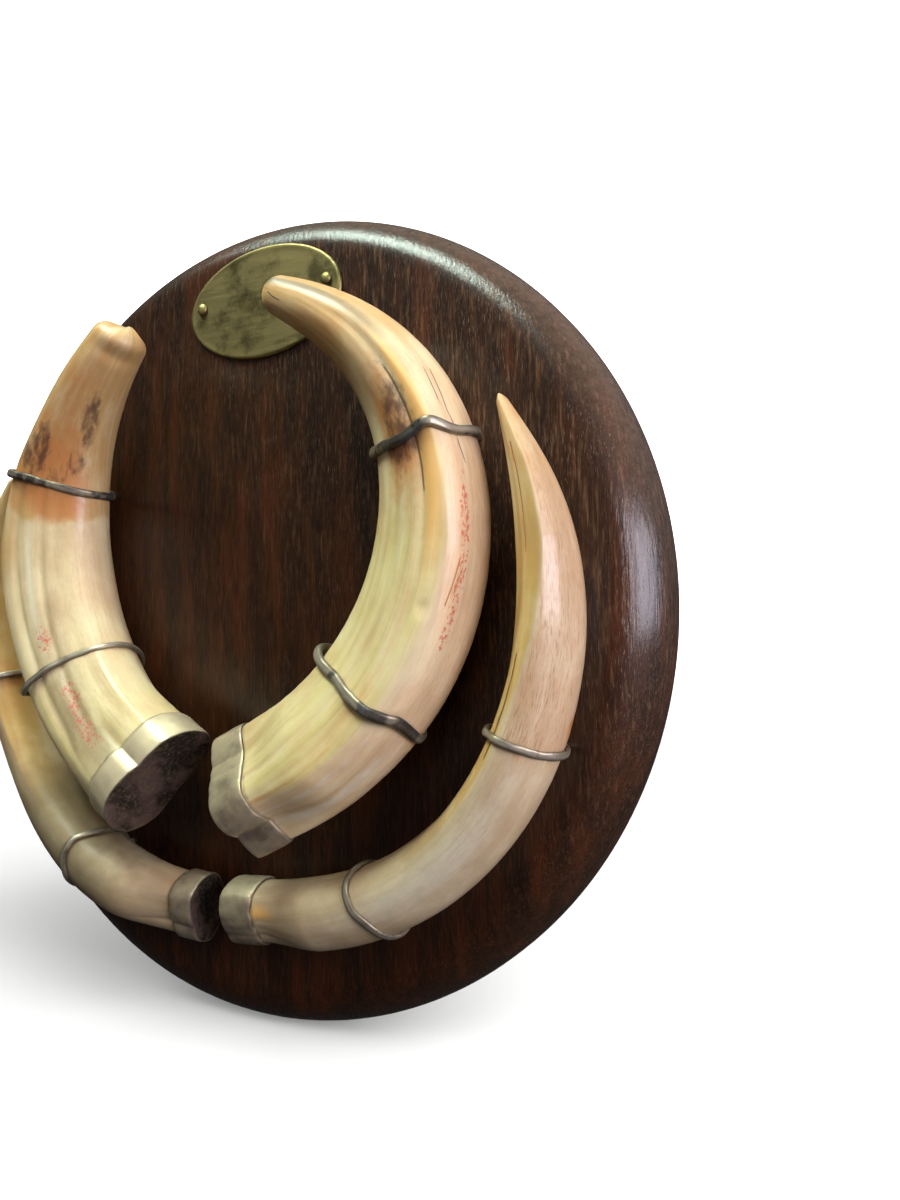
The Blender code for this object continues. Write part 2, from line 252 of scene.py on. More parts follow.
def ring_faces(rings: int, sides: int) -> list[tuple[int, ...]]:
    """Faces that join each ring of points to the next one.

    Args:
        rings: How many rings there are, numbered one after the other.
        sides: How many points each has.

    Returns:
        The faces, ring by ring.
    """
    return [(row * sides + i, row * sides + (i + 1) % sides,
             (row + 1) * sides + (i + 1) % sides, (row + 1) * sides + i)
            for row in range(rings - 1) for i in range(sides)]


def polyline(name: str, points: Array) -> Item:
    """Makes an object that is one open line, for a tree of nodes to work on.

    Args:
        name: The object's name.
        points: One row of x, y and z for each point, in metres.

    Returns:
        The line.
    """
    mesh = bpy.data.meshes.new(name)
    mesh.from_pydata(np.asarray(points, float).tolist(), [(i, i + 1) for i in range(len(points) - 1)], [])
    return in_scene(name, mesh)


def points_of(item: Item) -> Array:
    """Reads where a mesh's points are.

    Args:
        item: The object.

    Returns:
        One row of x, y and z for each point, in metres.
    """
    places = np.zeros(len(item.data.vertices) * 3)
    item.data.vertices.foreach_get("co", places)
    return places.reshape(-1, 3)


def store(item: Item, name: str, values: Array) -> None:
    """Stores one number or one vector for each point of a mesh.

    Args:
        item: The object.
        name: The attribute's name.
        values: Numbers, or rows of three numbers.
    """
    values = np.asarray(values, np.float32)
    kind, key = ("FLOAT_VECTOR", "vector") if values.ndim == 2 else ("FLOAT", "value")
    attribute = item.data.attributes.new(name, kind, "POINT")
    attribute.data.foreach_set(key, values.ravel())


def fetch(item: Item, name: str) -> Array:
    """Reads an attribute of a mesh's points back.

    Args:
        item: The object.
        name: The attribute's name.

    Returns:
        Numbers, or rows of three numbers, as store() takes them.
    """
    attribute = item.data.attributes[name]
    vector = attribute.data_type == "FLOAT_VECTOR"
    values = np.zeros(len(item.data.vertices) * (3 if vector else 1), np.float32)
    attribute.data.foreach_get("vector" if vector else "value", values)
    return values.reshape(-1, 3).astype(float) if vector else values.astype(float)


def apply_tree(item: Item, tree: Tree, name: str, **inputs) -> Item:
    """Runs a Geometry Nodes tree on an object and keeps the result as a plain mesh.

    Args:
        item: The object whose mesh goes in. It is removed afterwards.
        tree: The tree.
        name: The name of the piece that comes out.
        **inputs: Values for the tree's named inputs, with _ for a space.

    Returns:
        The new piece, with no modifier, at the origin.
    """
    modifier = item.modifiers.new(tree.name, "NODES")
    modifier.node_group = tree
    sockets = {s.name: s.identifier for s in tree.interface.items_tree if s.in_out == "INPUT"}
    for key, value in inputs.items():
        modifier[sockets[key.replace("_", " ").capitalize()]] = value
    evaluated = item.evaluated_get(bpy.context.evaluated_depsgraph_get())
    mesh = bpy.data.meshes.new_from_object(evaluated)
    mesh.name = name
    item.modifiers.remove(modifier)
    bpy.data.objects.remove(item, do_unlink=True)
    return in_scene(name, mesh)


def fasten(piece: Item, slot: str, *nodes: str) -> None:
    """Fixes a finished piece to the part: its body and the solids it stands for.

    Args:
        piece: The finished piece.
        slot: The record's material slot; not used.
        *nodes: The solids that it replaces.
    """
    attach(piece, "root")
    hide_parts(*nodes)
    LOG.info("%s: %d faces, for %s", piece.name, len(piece.data.polygons), ", ".join(nodes))


# ------------------------------------------------------------------------------------- geometry node trees

def new_tree(name: str, sockets: dict[str, str]) -> tuple[Tree, dict[str, Socket]]:
    """Starts a Geometry Nodes tree.

    Args:
        name: The tree's name.
        sockets: Input names to socket types; the geometry comes first by itself.

    Returns:
        The tree, and its inputs by name.
    """
    tree = bpy.data.node_groups.new(name, "GeometryNodeTree")
    tree.interface.new_socket("Geometry", in_out="INPUT", socket_type="NodeSocketGeometry")
    for label, kind in sockets.items():
        tree.interface.new_socket(label, in_out="INPUT", socket_type=kind)
    tree.interface.new_socket("Geometry", in_out="OUTPUT", socket_type="NodeSocketGeometry")
    given = add(tree, "NodeGroupInput").node
    return tree, {socket.name: socket for socket in given.outputs}


def finish_tree(tree: Tree, geometry: Socket, material: Socket) -> None:
    """Ends a tree: instances become real, and everything gets the material.

    Args:
        tree: The tree.
        geometry: What comes out of it.
        material: The material, or the input that gives it.
    """
    real = add(tree, "GeometryNodeRealizeInstances", (geometry,))
    dressed = add(tree, "GeometryNodeSetMaterial", {"Geometry": real, "Material": material})
    add(tree, "NodeGroupOutput", (dressed,))


def sweep_tree() -> Tree:
    """A tree that sweeps a squarish oval along a line, for tusks and wires.

    The line's points carry the attributes front, outward, half_width, half_depth and tilt. The skin that comes out
    also carries angle, in degrees from the outward direction, and middle, the point of the line that it belongs to.

    Returns:
        The tree.
    """
    tree, given = new_tree("sweep_along_line", {
        "Sides": "NodeSocketInt", "Squareness": "NodeSocketFloat", "Dent depth": "NodeSocketFloat",
        "Dent size": "NodeSocketFloat", "Seed": "NodeSocketFloat", "Material": "NodeSocketMaterial"})
    read = {name: add(tree, "GeometryNodeInputNamedAttribute", (name,), data_type=kind)
            for kind, names in (("FLOAT_VECTOR", ("front", "outward", "middle")),
                                ("FLOAT", ("half_width", "half_depth", "tilt"))) for name in names}
    place = add(tree, "GeometryNodeInputPosition")
    kept = add(tree, "GeometryNodeStoreNamedAttribute",
               {"Geometry": given["Geometry"], "Name": "middle", "Value": place},
               data_type="FLOAT_VECTOR", domain="POINT")
    line = add(tree, "GeometryNodeMeshToCurve", (kept,))
    held = add(tree, "GeometryNodeSetCurveNormal", {"Curve": line, "Normal": read["front"]}, mode="FREE")
    circle = add(tree, "GeometryNodeCurvePrimitiveCircle", {"Resolution": given["Sides"], "Radius": 5 * MM})
    tube = add(tree, "GeometryNodeCurveToMesh", {"Curve": held, "Profile Curve": circle, "Fill Caps": True})

    # The section: (|cos|/width)^p + (|sin|/depth)^p = r^-p, turned by the tilt.
    spoke = add(tree, VECTOR_MATH, (place, read["middle"]), operation="SUBTRACT")
    ray = add(tree, VECTOR_MATH, (spoke,), operation="NORMALIZE")
    east = add(tree, VECTOR_MATH, (ray, read["outward"]), operation="DOT_PRODUCT")
    north = add(tree, VECTOR_MATH, (ray, read["front"]), operation="DOT_PRODUCT")
    angle = add(tree, MATH, (north, east), operation="ARCTAN2")
    turned = add(tree, MATH, (angle, read["tilt"]), operation="SUBTRACT")
    terms = []
    for wave, half in (("COSINE", "half_width"), ("SINE", "half_depth")):
        side = add(tree, MATH, (turned,), operation=wave)
        size = add(tree, MATH, (side,), operation="ABSOLUTE")
        ratio = add(tree, MATH, (size, read[half]), operation="DIVIDE")
        terms.append(add(tree, MATH, (ratio, given["Squareness"]), operation="POWER"))
    both = add(tree, MATH, tuple(terms), operation="ADD")
    power = add(tree, MATH, (-1.0, given["Squareness"]), operation="DIVIDE")
    radius = add(tree, MATH, (both, power), operation="POWER")

    # Small hammered dents, from a seeded noise in space.
    waves = add(tree, NOISE, {"Vector": place, "W": given["Seed"], "Scale": given["Dent size"], "Detail": 1.0},
                noise_dimensions="4D")
    level = add(tree, MATH, (waves, 0.5), operation="SUBTRACT")
    dent = add(tree, MATH, (level, given["Dent depth"]), operation="MULTIPLY")
    reach = add(tree, MATH, (radius, dent), operation="ADD")
    out = add(tree, VECTOR_MATH, (ray, reach), operation="SCALE")
    spot = add(tree, VECTOR_MATH, (read["middle"], out), operation="ADD")
    degrees = add(tree, MATH, (angle,), operation="DEGREES")
    named = add(tree, "GeometryNodeStoreNamedAttribute", {"Geometry": tube, "Name": "angle", "Value": degrees},
                data_type="FLOAT", domain="POINT")
    moved = add(tree, "GeometryNodeSetPosition", {"Geometry": named, "Position": spot})
    even = add(tree, "GeometryNodeSetShadeSmooth", {"Geometry": moved, "Shade Smooth": True})
    finish_tree(tree, even, given["Material"])
    return tree


def turning_tree() -> Tree:
    """A tree that turns a profile, as on a lathe, and sets a copy at each place, for the board and the pins.

    The mesh that goes in is the profile: a line of points (radius, y, 0). The copies stand at the two places that
    are Spacing apart along X, or at one place where Count is 1.

    Returns:
        The tree.
    """
    tree, given = new_tree("turned_on_lathe", {
        "Rows": "NodeSocketInt", "Segments": "NodeSocketInt", "Count": "NodeSocketInt",
        "Spacing": "NodeSocketFloat", "Centre": "NodeSocketVector", "Material": "NodeSocketMaterial"})
    columns = add(tree, MATH, (given["Segments"], 1.0), operation="ADD")
    grid = add(tree, "GeometryNodeMeshGrid", {"Vertices X": columns, "Vertices Y": given["Rows"],
                                              "Size X": 1.0, "Size Y": 1.0})
    number = add(tree, "GeometryNodeInputIndex")
    row = add(tree, MATH, (number, given["Rows"]), operation="MODULO")
    ratio = add(tree, MATH, (number, given["Rows"]), operation="DIVIDE")
    column = add(tree, MATH, (ratio,), operation="FLOOR")
    share = add(tree, MATH, (column, given["Segments"]), operation="DIVIDE")
    turn = add(tree, MATH, (share, 2 * math.pi), operation="MULTIPLY")
    place = add(tree, "GeometryNodeInputPosition")
    profile = add(tree, "GeometryNodeSampleIndex", {"Geometry": given["Geometry"], "Value": place, "Index": row},
                  data_type="FLOAT_VECTOR", domain="POINT")
    parts = add(tree, "ShaderNodeSeparateXYZ", (profile,)).node.outputs
    flat = [add(tree, MATH, (turn,), operation=wave) for wave in ("COSINE", "SINE")]
    sides = [add(tree, MATH, (parts["X"], wave), operation="MULTIPLY") for wave in flat]
    spot = add(tree, "ShaderNodeCombineXYZ", (sides[0], parts["Y"], sides[1]))
    turned = add(tree, "GeometryNodeSetPosition", {"Geometry": grid, "Position": spot})
    closed = add(tree, "GeometryNodeMergeByDistance", {"Geometry": turned, "Distance": 0.01 * MM})
    step = add(tree, "ShaderNodeCombineXYZ", (given["Spacing"],))
    line = add(tree, "GeometryNodeMeshLine", {"Count": given["Count"], "Start Location": given["Centre"],
                                              "Offset": step})
    copies = add(tree, "GeometryNodeInstanceOnPoints", {"Points": line, "Instance": closed})
    finish_tree(tree, copies, given["Material"])
    return tree


# --------------------------------------------------------------------------------------------- finishes

class Paint(Enum):
    """Colours that lie in patches on a tusk, each stored as an attribute of its points."""

    YELLOW = "yellow"
    PINK = "pink"
    PALE = "pale"
    TAN = "tan"
    # Painted shade: greyish brown where the tusk lies in shade, partly grime at the roots.
    PAINTED_SHADE = "dull"
    ORANGE = "orange"
    STAIN = "stain"
    BRUISE = "bruise"
    RED = "red"
    GRIME = "grime"


class Mark(Enum):
    """Kinds of fine line on a tusk. Each is stored as a signed distance and as a nearness."""

    CRACK = "crack"
    SEAM = "seam"
    SCRATCH = "scratch"


def new_material(name: str, sockets: dict[str, float | tuple]
                 ) -> tuple[Material, Tree, Node]:
    """Starts a material with a Principled shader.

    Args:
        name: The material's name.
        sockets: What the shader's sockets hold where no pattern feeds them.

    Returns:
        The material, its tree and its shader.
    """
    material = bpy.data.materials.new(name)
    material.use_nodes = True
    tree = material.node_tree
    shader = tree.nodes["Principled BSDF"]
    for socket, value in sockets.items():
        shader.inputs[socket].default_value = value
    return material, tree, shader


def pattern_set(tree: Tree, place: Socket, rows: tuple, unit_length: float = MM,
                roughness: float = 0.6) -> dict[str, Socket]:
    """Adds the noise patterns that a material is made of.

    Args:
        tree: The material's tree.
        place: The coordinates that the patterns read.
        rows: For each pattern its name, its detail, its size in mm, and its length along Z where that differs.
        unit_length: What a millimetre is in those coordinates.
        roughness: How strong the finer octaves are.

    Returns:
        The patterns' values, by name.
    """
    patterns = {}
    for name, detail, wide, *long in rows:
        vector, scale = place, 1 / (wide * unit_length)
        if long:
            vector = add(tree, "ShaderNodeMapping", {
                "Vector": place, "Scale": (scale, scale, 1 / (long[0] * unit_length))})
            scale = 1.0
        patterns[name] = add(tree, NOISE, {"Vector": vector, "W": wide, "Scale": scale, "Detail": detail,
                                           "Roughness": roughness}, noise_dimensions="4D")
    return patterns


def glaze(tree: Tree, colour: Socket | tuple, tint: str, pattern: Socket, levels: tuple,
          mask: Socket | None = None, soft: bool = True) -> Socket:
    """Lays a tint over a colour where a pattern is high enough.

    Args:
        tree: The material's tree.
        colour: The colour below.
        tint: The tint, as sRGB hex.
        pattern: The pattern's value.
        levels: The values where the tint starts and is full, then how much of it shows when full, 1 if left out.
        mask: Where the tint may lie at all.
        soft: Whether it fades in along a smooth curve instead of a straight line.

    Returns:
        The new colour.
    """
    low, high, *most = levels
    shown = add(tree, RANGE, (pattern, low, high, 0.0, *(most or (1.0,))),
                interpolation_type="SMOOTHSTEP" if soft else "LINEAR")
    if mask is not None:
        shown = add(tree, MATH, (shown, mask), operation="MULTIPLY")
    return add(tree, MIX, (shown, colour, linear(tint)), data_type="RGBA")


def lay_surface(tree: Tree, shader: Node, colour: Socket, dull: Socket, height: Socket,
                strength: float, depth_mm: float, levels: tuple[float, float] = (0.3, 0.7),
                spread: tuple[float, float] = (-0.08, 0.12)) -> None:
    """Feeds a shader its colour, an uneven roughness round the one it holds, and a fine relief.

    Args:
        tree: The material's tree.
        shader: The shader.
        colour: The finished colour.
        dull: The pattern that is rougher where it is high.
        height: The relief's height.
        strength: The relief's strength.
        depth_mm: The relief's depth, in mm.
        levels: The pattern's values where the roughness is least and most.
        spread: How far the roughness falls and rises.
    """
    middle = shader.inputs["Roughness"].default_value
    uneven = add(tree, RANGE, (dull, *levels, middle + spread[0], middle + spread[1]))
    relief = add(tree, "ShaderNodeBump", {"Height": height, "Strength": strength, "Distance": depth_mm * MM})
    for name, value in (("Base Color", colour), ("Roughness", uneven), ("Normal", relief)):
        tree.links.new(value, shader.inputs[name])


@dataclass(frozen=True)
class Ivory:
    """Polished tusk dentine, dulled by a century of handling.

    The eye sees a warm cream body with light going a little way in, broad soft growth streaks under an old polish,
    yellower where the gum lay, tan at the tips, and dark fine cracks where it has dried. A greyish-brown painted
    shade darkens the parts that lie in shade, with some grime at the roots.
    """

    name: str
    body: str = "#dcc49a"
    yellow: str = "#d6c684"
    pink: str = "#e3c09c"
    pale: str = "#e0d8c0"
    tan: str = "#cda268"
    # The dull colour is painted shade, partly grime at the roots.
    dull: str = "#85765a"
    dash: str = "#97693f"
    brown_streak: str = "#b08a5c"
    light_streak: str = "#ecdfb8"
    streak_amount: float = 0.5
    fibre_amount: float = 0.25
    dash_amount: float = 0.35
    orange: str = "#ebb568"
    stain: str = "#c98449"
    bruise: str = "#4b2f2d"
    red: str = "#c8473a"
    grime: str = "#4a3a28"
    crack: str = "#3d3f47"
    seam: str = "#5b3d1d"
    scratch: str = "#b06a34"
    roughness: float = 0.47
    coat: float = 0.2
    coat_roughness: float = 0.15
    line_mm: float = 0.17                # half width of a crack

    def build(self) -> Material:
        """Builds the material.

        Returns:
            The material, which reads the attributes that a tusk's points carry.
        """
        material, tree, shader = new_material(self.name, {
            "Roughness": self.roughness, "IOR": 1.54, "Coat Weight": self.coat,
            "Coat Roughness": self.coat_roughness, "Subsurface Weight": 0.12,
            "Subsurface Radius": (1.0, 0.6, 0.35), "Subsurface Scale": 1.6 * MM})
        read = {choice: add(tree, ATTRIBUTE, attribute_name=choice.value).node.outputs["Fac"]
                for choice in (*Paint, *Mark)}
        skin = add(tree, ATTRIBUTE, attribute_name="skin").node.outputs["Vector"]
        # Widths round the tusk and lengths along it, in mm. Real fibres are finer; 0.2 to 0.4 mm shows in a picture.
        patterns = pattern_set(tree, skin, (
            ("bands", 3.0, 9, 130), ("streaks", 6.0, 3.0, 90), ("fibres", 3.0, 0.4, 14), ("clouds", 5.0, 15, 26),
            ("blotches", 6.0, 6, 9), ("flecks", 3.0, 1.0, 1.2), ("dashes", 3.0, 0.22, 3.6),
            ("speckle", 6.0, 2.2, 4.5)), 1.0)
        # Each patch: its pattern, how ragged that makes it, and the levels between which it fades in.
        colour = linear(self.body)
        for paint, tint, pattern, ragged, levels in (
                (Paint.PALE, self.pale, "bands", 0.8, (0.25, 1.0, 0.9)),
                (Paint.YELLOW, self.yellow, "bands", 1.6, (0.3, 1.1)),
                (Paint.PINK, self.pink, "clouds", 1.2, (0.2, 1.0, 0.95)),
                (Paint.TAN, self.tan, "clouds", 0.9, (0.1, 0.85, 0.95))):
            colour = self.patch(tree, colour, tint, read[paint], patterns[pattern], ragged, levels)
        for pattern, tint, levels in (
                ("streaks", self.brown_streak, (0.5, 0.72, self.streak_amount)),
                ("streaks", self.light_streak, (0.47, 0.3, self.streak_amount)),
                ("fibres", self.brown_streak, (0.5, 0.8, self.fibre_amount)),
                ("clouds", self.brown_streak, (0.48, 0.75, 0.45)), ("clouds", self.light_streak, (0.5, 0.3, 0.4)),
                ("dashes", self.dash, (0.5, 0.7, self.dash_amount)), ("flecks", self.stain, (0.7, 0.78, 0.35))):
            dry = read[Paint.PINK] if pattern == "dashes" else None
            colour = glaze(tree, colour, tint, patterns[pattern], levels, dry, soft=False)
        for paint, tint, pattern, ragged, levels in (
                # The dull paint is painted shade, partly grime at the roots.
                (Paint.PAINTED_SHADE, self.dull, "clouds", 0.8, (0.1, 1.0, 0.9)),
                (Paint.ORANGE, self.orange, "streaks", 0.9, (0.2, 0.9, 0.85)),
                (Paint.STAIN, self.stain, "blotches", 1.1, (0.25, 0.95, 0.9)),
                (Paint.BRUISE, self.bruise, "speckle", 2.7, (0.35, 1.35, 0.82)),
                (Paint.GRIME, self.grime, "blotches", 0.9, (0.25, 1.4, 0.85)),
                (Paint.RED, self.red, "flecks", 3.2, (0.88, 1.3, 0.8))):
            colour = self.patch(tree, colour, tint, read[paint], patterns[pattern], ragged, levels)
        height = patterns["streaks"]
        wander = add(tree, MATH, (patterns["blotches"], 0.8, -0.4), operation="MULTIPLY_ADD")
        for mark, tint, half_mm in ((Mark.CRACK, self.crack, self.line_mm),
                                    (Mark.SEAM, self.seam, 1.6 * self.line_mm),
                                    (Mark.SCRATCH, self.scratch, 1.2 * self.line_mm)):
            near = add(tree, ATTRIBUTE, attribute_name=mark.value + "_near").node.outputs["Fac"]
            off = add(tree, MATH, (read[mark], wander), operation="ADD")
            size = add(tree, MATH, (off,), operation="ABSOLUTE")
            thin = add(tree, RANGE, (size, half_mm * 0.4, half_mm * 1.7, 1.0, 0.0), interpolation_type="SMOOTHSTEP")
            shown = add(tree, MATH, (thin, near), operation="MULTIPLY", use_clamp=True)
            colour = add(tree, MIX, (shown, colour, linear(tint)), data_type="RGBA")
            height = add(tree, MATH, (height, shown), operation="SUBTRACT")
        fine = add(tree, MATH, (patterns["fibres"], 0.3, height), operation="MULTIPLY_ADD")
        lay_surface(tree, shader, colour, patterns["blotches"], fine, 0.3, 0.35, levels=(0.3, 0.75))
        polish = add(tree, "ShaderNodeBump", {"Height": patterns["dashes"], "Strength": 0.12, "Distance": 0.2 * MM})
        tree.links.new(polish, shader.inputs["Coat Normal"])
        return material

    @staticmethod
    def patch(tree: Tree, colour: Socket | tuple, tint: str, amount: Socket, pattern: Socket,
              ragged: float, levels: tuple) -> Socket:
        """Lays a paint where a tusk's points carry it, with an edge that a pattern makes ragged.

        Args:
            tree: The material's tree.
            colour: The colour below.
            tint: The paint's colour, as sRGB hex.
            amount: How much of it each point carries.
            pattern: The pattern's value.
            ragged: How much the pattern counts against the amount.
            levels: As glaze() takes them.

        Returns:
            The new colour.
        """
        level = add(tree, MATH, (pattern, 0.5), operation="SUBTRACT")
        rough = add(tree, MATH, (level, ragged, amount), operation="MULTIPLY_ADD")
        held = add(tree, MATH, (amount, 5.0), operation="MULTIPLY", use_clamp=True)
        return glaze(tree, colour, tint, rough, levels, held)


@dataclass(frozen=True)
class Silver:
    """Silver worked by hand and long tarnished: a warm grey film over the metal, brown-violet in its patches.

    The eye sees a soft beige-grey sheen, because the film scatters light that bare metal would mirror, with small
    dark pits, and clean bright metal where it is rubbed. On the caps the same colours also carry painted light and
    shade.
    """

    name: str
    metal: str = "#b9a88a"
    tarnish: str = "#8c7b66"
    violet: str = "#806c6b"
    # The bright colour lies where the metal is rubbed, and as painted light on the caps.
    bright: str = "#e4d0ac"
    pit: str = "#151310"
    # The plate colours lie where a piece is shaded: dark tarnish and painted shade on the caps, black oxide on the
    # wires.
    plate: str = "#39322a"
    plate_violet: str = "#745e56"
    rust: str = "#8d745f"
    tarnish_level: float = 0.5           # lower means more tarnish
    pit_level: float = 0.66              # lower means more pits
    grain_mm: float = 8.0                # size of the tarnish patches
    pit_mm: float = 1.6
    roughness: float = 0.42
    metallic: float = 0.55

    def build(self) -> Material:
        """Builds the material.

        Returns:
            The material, which reads two attributes where the piece has them: one for rubbed metal and painted light,
            one for painted shade, dark tarnish and black oxide.
        """
        material, tree, shader = new_material(self.name, {"Roughness": self.roughness, "Metallic": self.metallic})
        place = add(tree, "ShaderNodeTexCoord").node.outputs["Object"]
        patterns = pattern_set(tree, place, (
            ("patch", 5.0, self.grain_mm), ("hue", 2.0, self.grain_mm * 1.7), ("pits", 3.0, self.pit_mm),
            ("scuff", 4.0, 0.5), ("rust", 3.0, 1.1)))
        wear_and_sheen, shaded = (add(tree, ATTRIBUTE, attribute_name=name).node.outputs["Fac"]
                          for name in ("wear_and_sheen", "shaded"))
        hue = add(tree, RANGE, (patterns["hue"], 0.45, 0.62), interpolation_type="SMOOTHSTEP")
        film = add(tree, MIX, (hue, linear(self.tarnish), linear(self.violet)), data_type="RGBA")
        # Where shaded: dark tarnish and painted shade on the caps, black oxide on the wires. Where rubbed: bright
        # metal, and painted light on the caps.
        closed = add(tree, MIX, (hue, linear(self.plate), linear(self.plate_violet)), data_type="RGBA")
        spread = add(tree, RANGE, (patterns["patch"], self.tarnish_level - 0.08, self.tarnish_level + 0.14,
                                   0.0, 0.8), interpolation_type="SMOOTHSTEP")
        colour = linear(self.metal)
        for amount, over in ((spread, film), (shaded, closed), (wear_and_sheen, linear(self.bright))):
            colour = add(tree, MIX, (amount, colour, over), data_type="RGBA")
        colour = glaze(tree, colour, self.rust, patterns["rust"], (0.48, 0.62, 0.6), shaded)
        held = add(tree, MATH, (wear_and_sheen, -0.12, patterns["pits"]), operation="MULTIPLY_ADD")
        pits = add(tree, RANGE, (held, self.pit_level, self.pit_level + 0.05, 0.0, 0.9),
                   interpolation_type="SMOOTHSTEP")
        colour = add(tree, MIX, (pits, colour, linear(self.pit)), data_type="RGBA")
        height = add(tree, MATH, (patterns["scuff"], pits), operation="SUBTRACT")
        lay_surface(tree, shader, colour, patterns["scuff"], height, 0.3, 0.12, spread=(-0.1, 0.12))
        return material


@dataclass(frozen=True)
class Brass:
    """Sheet brass left to age: olive brown, darker where hands and polish never reached, yellow at rubbed edges."""

    name: str = "aged_sheet_brass"
    metal: str = "#938157"
    dark: str = "#4a4029"
    rust: str = "#6b4f2b"
    bright: str = "#b3a36a"
    roughness: float = 0.5
    patch_mm: float = 14.0

    def build(self) -> Material:
        """Builds the material.

        Returns:
            The material, which reads the attribute rubbed where the piece has it.
        """
        material, tree, shader = new_material(self.name, {"Roughness": self.roughness, "Metallic": 1.0})
        place = add(tree, "ShaderNodeTexCoord").node.outputs["Object"]
        patterns = pattern_set(tree, place, (("patch", 6.0, self.patch_mm), ("rust", 4.0, self.patch_mm * 0.6),
                                             ("grain", 3.0, 0.7)), roughness=0.62)
        brushed = add(tree, "ShaderNodeMapping", {"Vector": place, "Rotation": (0.0, 0.5, 0.0),
                                                  "Scale": (90.0, 90.0, 3500.0)})
        lines = add(tree, NOISE, {"Vector": brushed, "Scale": 1.0, "Detail": 2.0})
        colour = linear(self.metal)
        for pattern, tint, levels in (("patch", self.dark, (0.46, 0.63, 0.85)),
                                      ("rust", self.rust, (0.58, 0.72, 0.5)),
                                      ("grain", self.dark, (0.56, 0.75, 0.35))):
            colour = glaze(tree, colour, tint, patterns[pattern], levels)
        wear_and_sheen = add(tree, ATTRIBUTE, attribute_name="wear_and_sheen").node.outputs["Fac"]
        colour = add(tree, MIX, (wear_and_sheen, colour, linear(self.bright)), data_type="RGBA")
        lay_surface(tree, shader, colour, lines, lines, 0.12, 0.1)
        return material


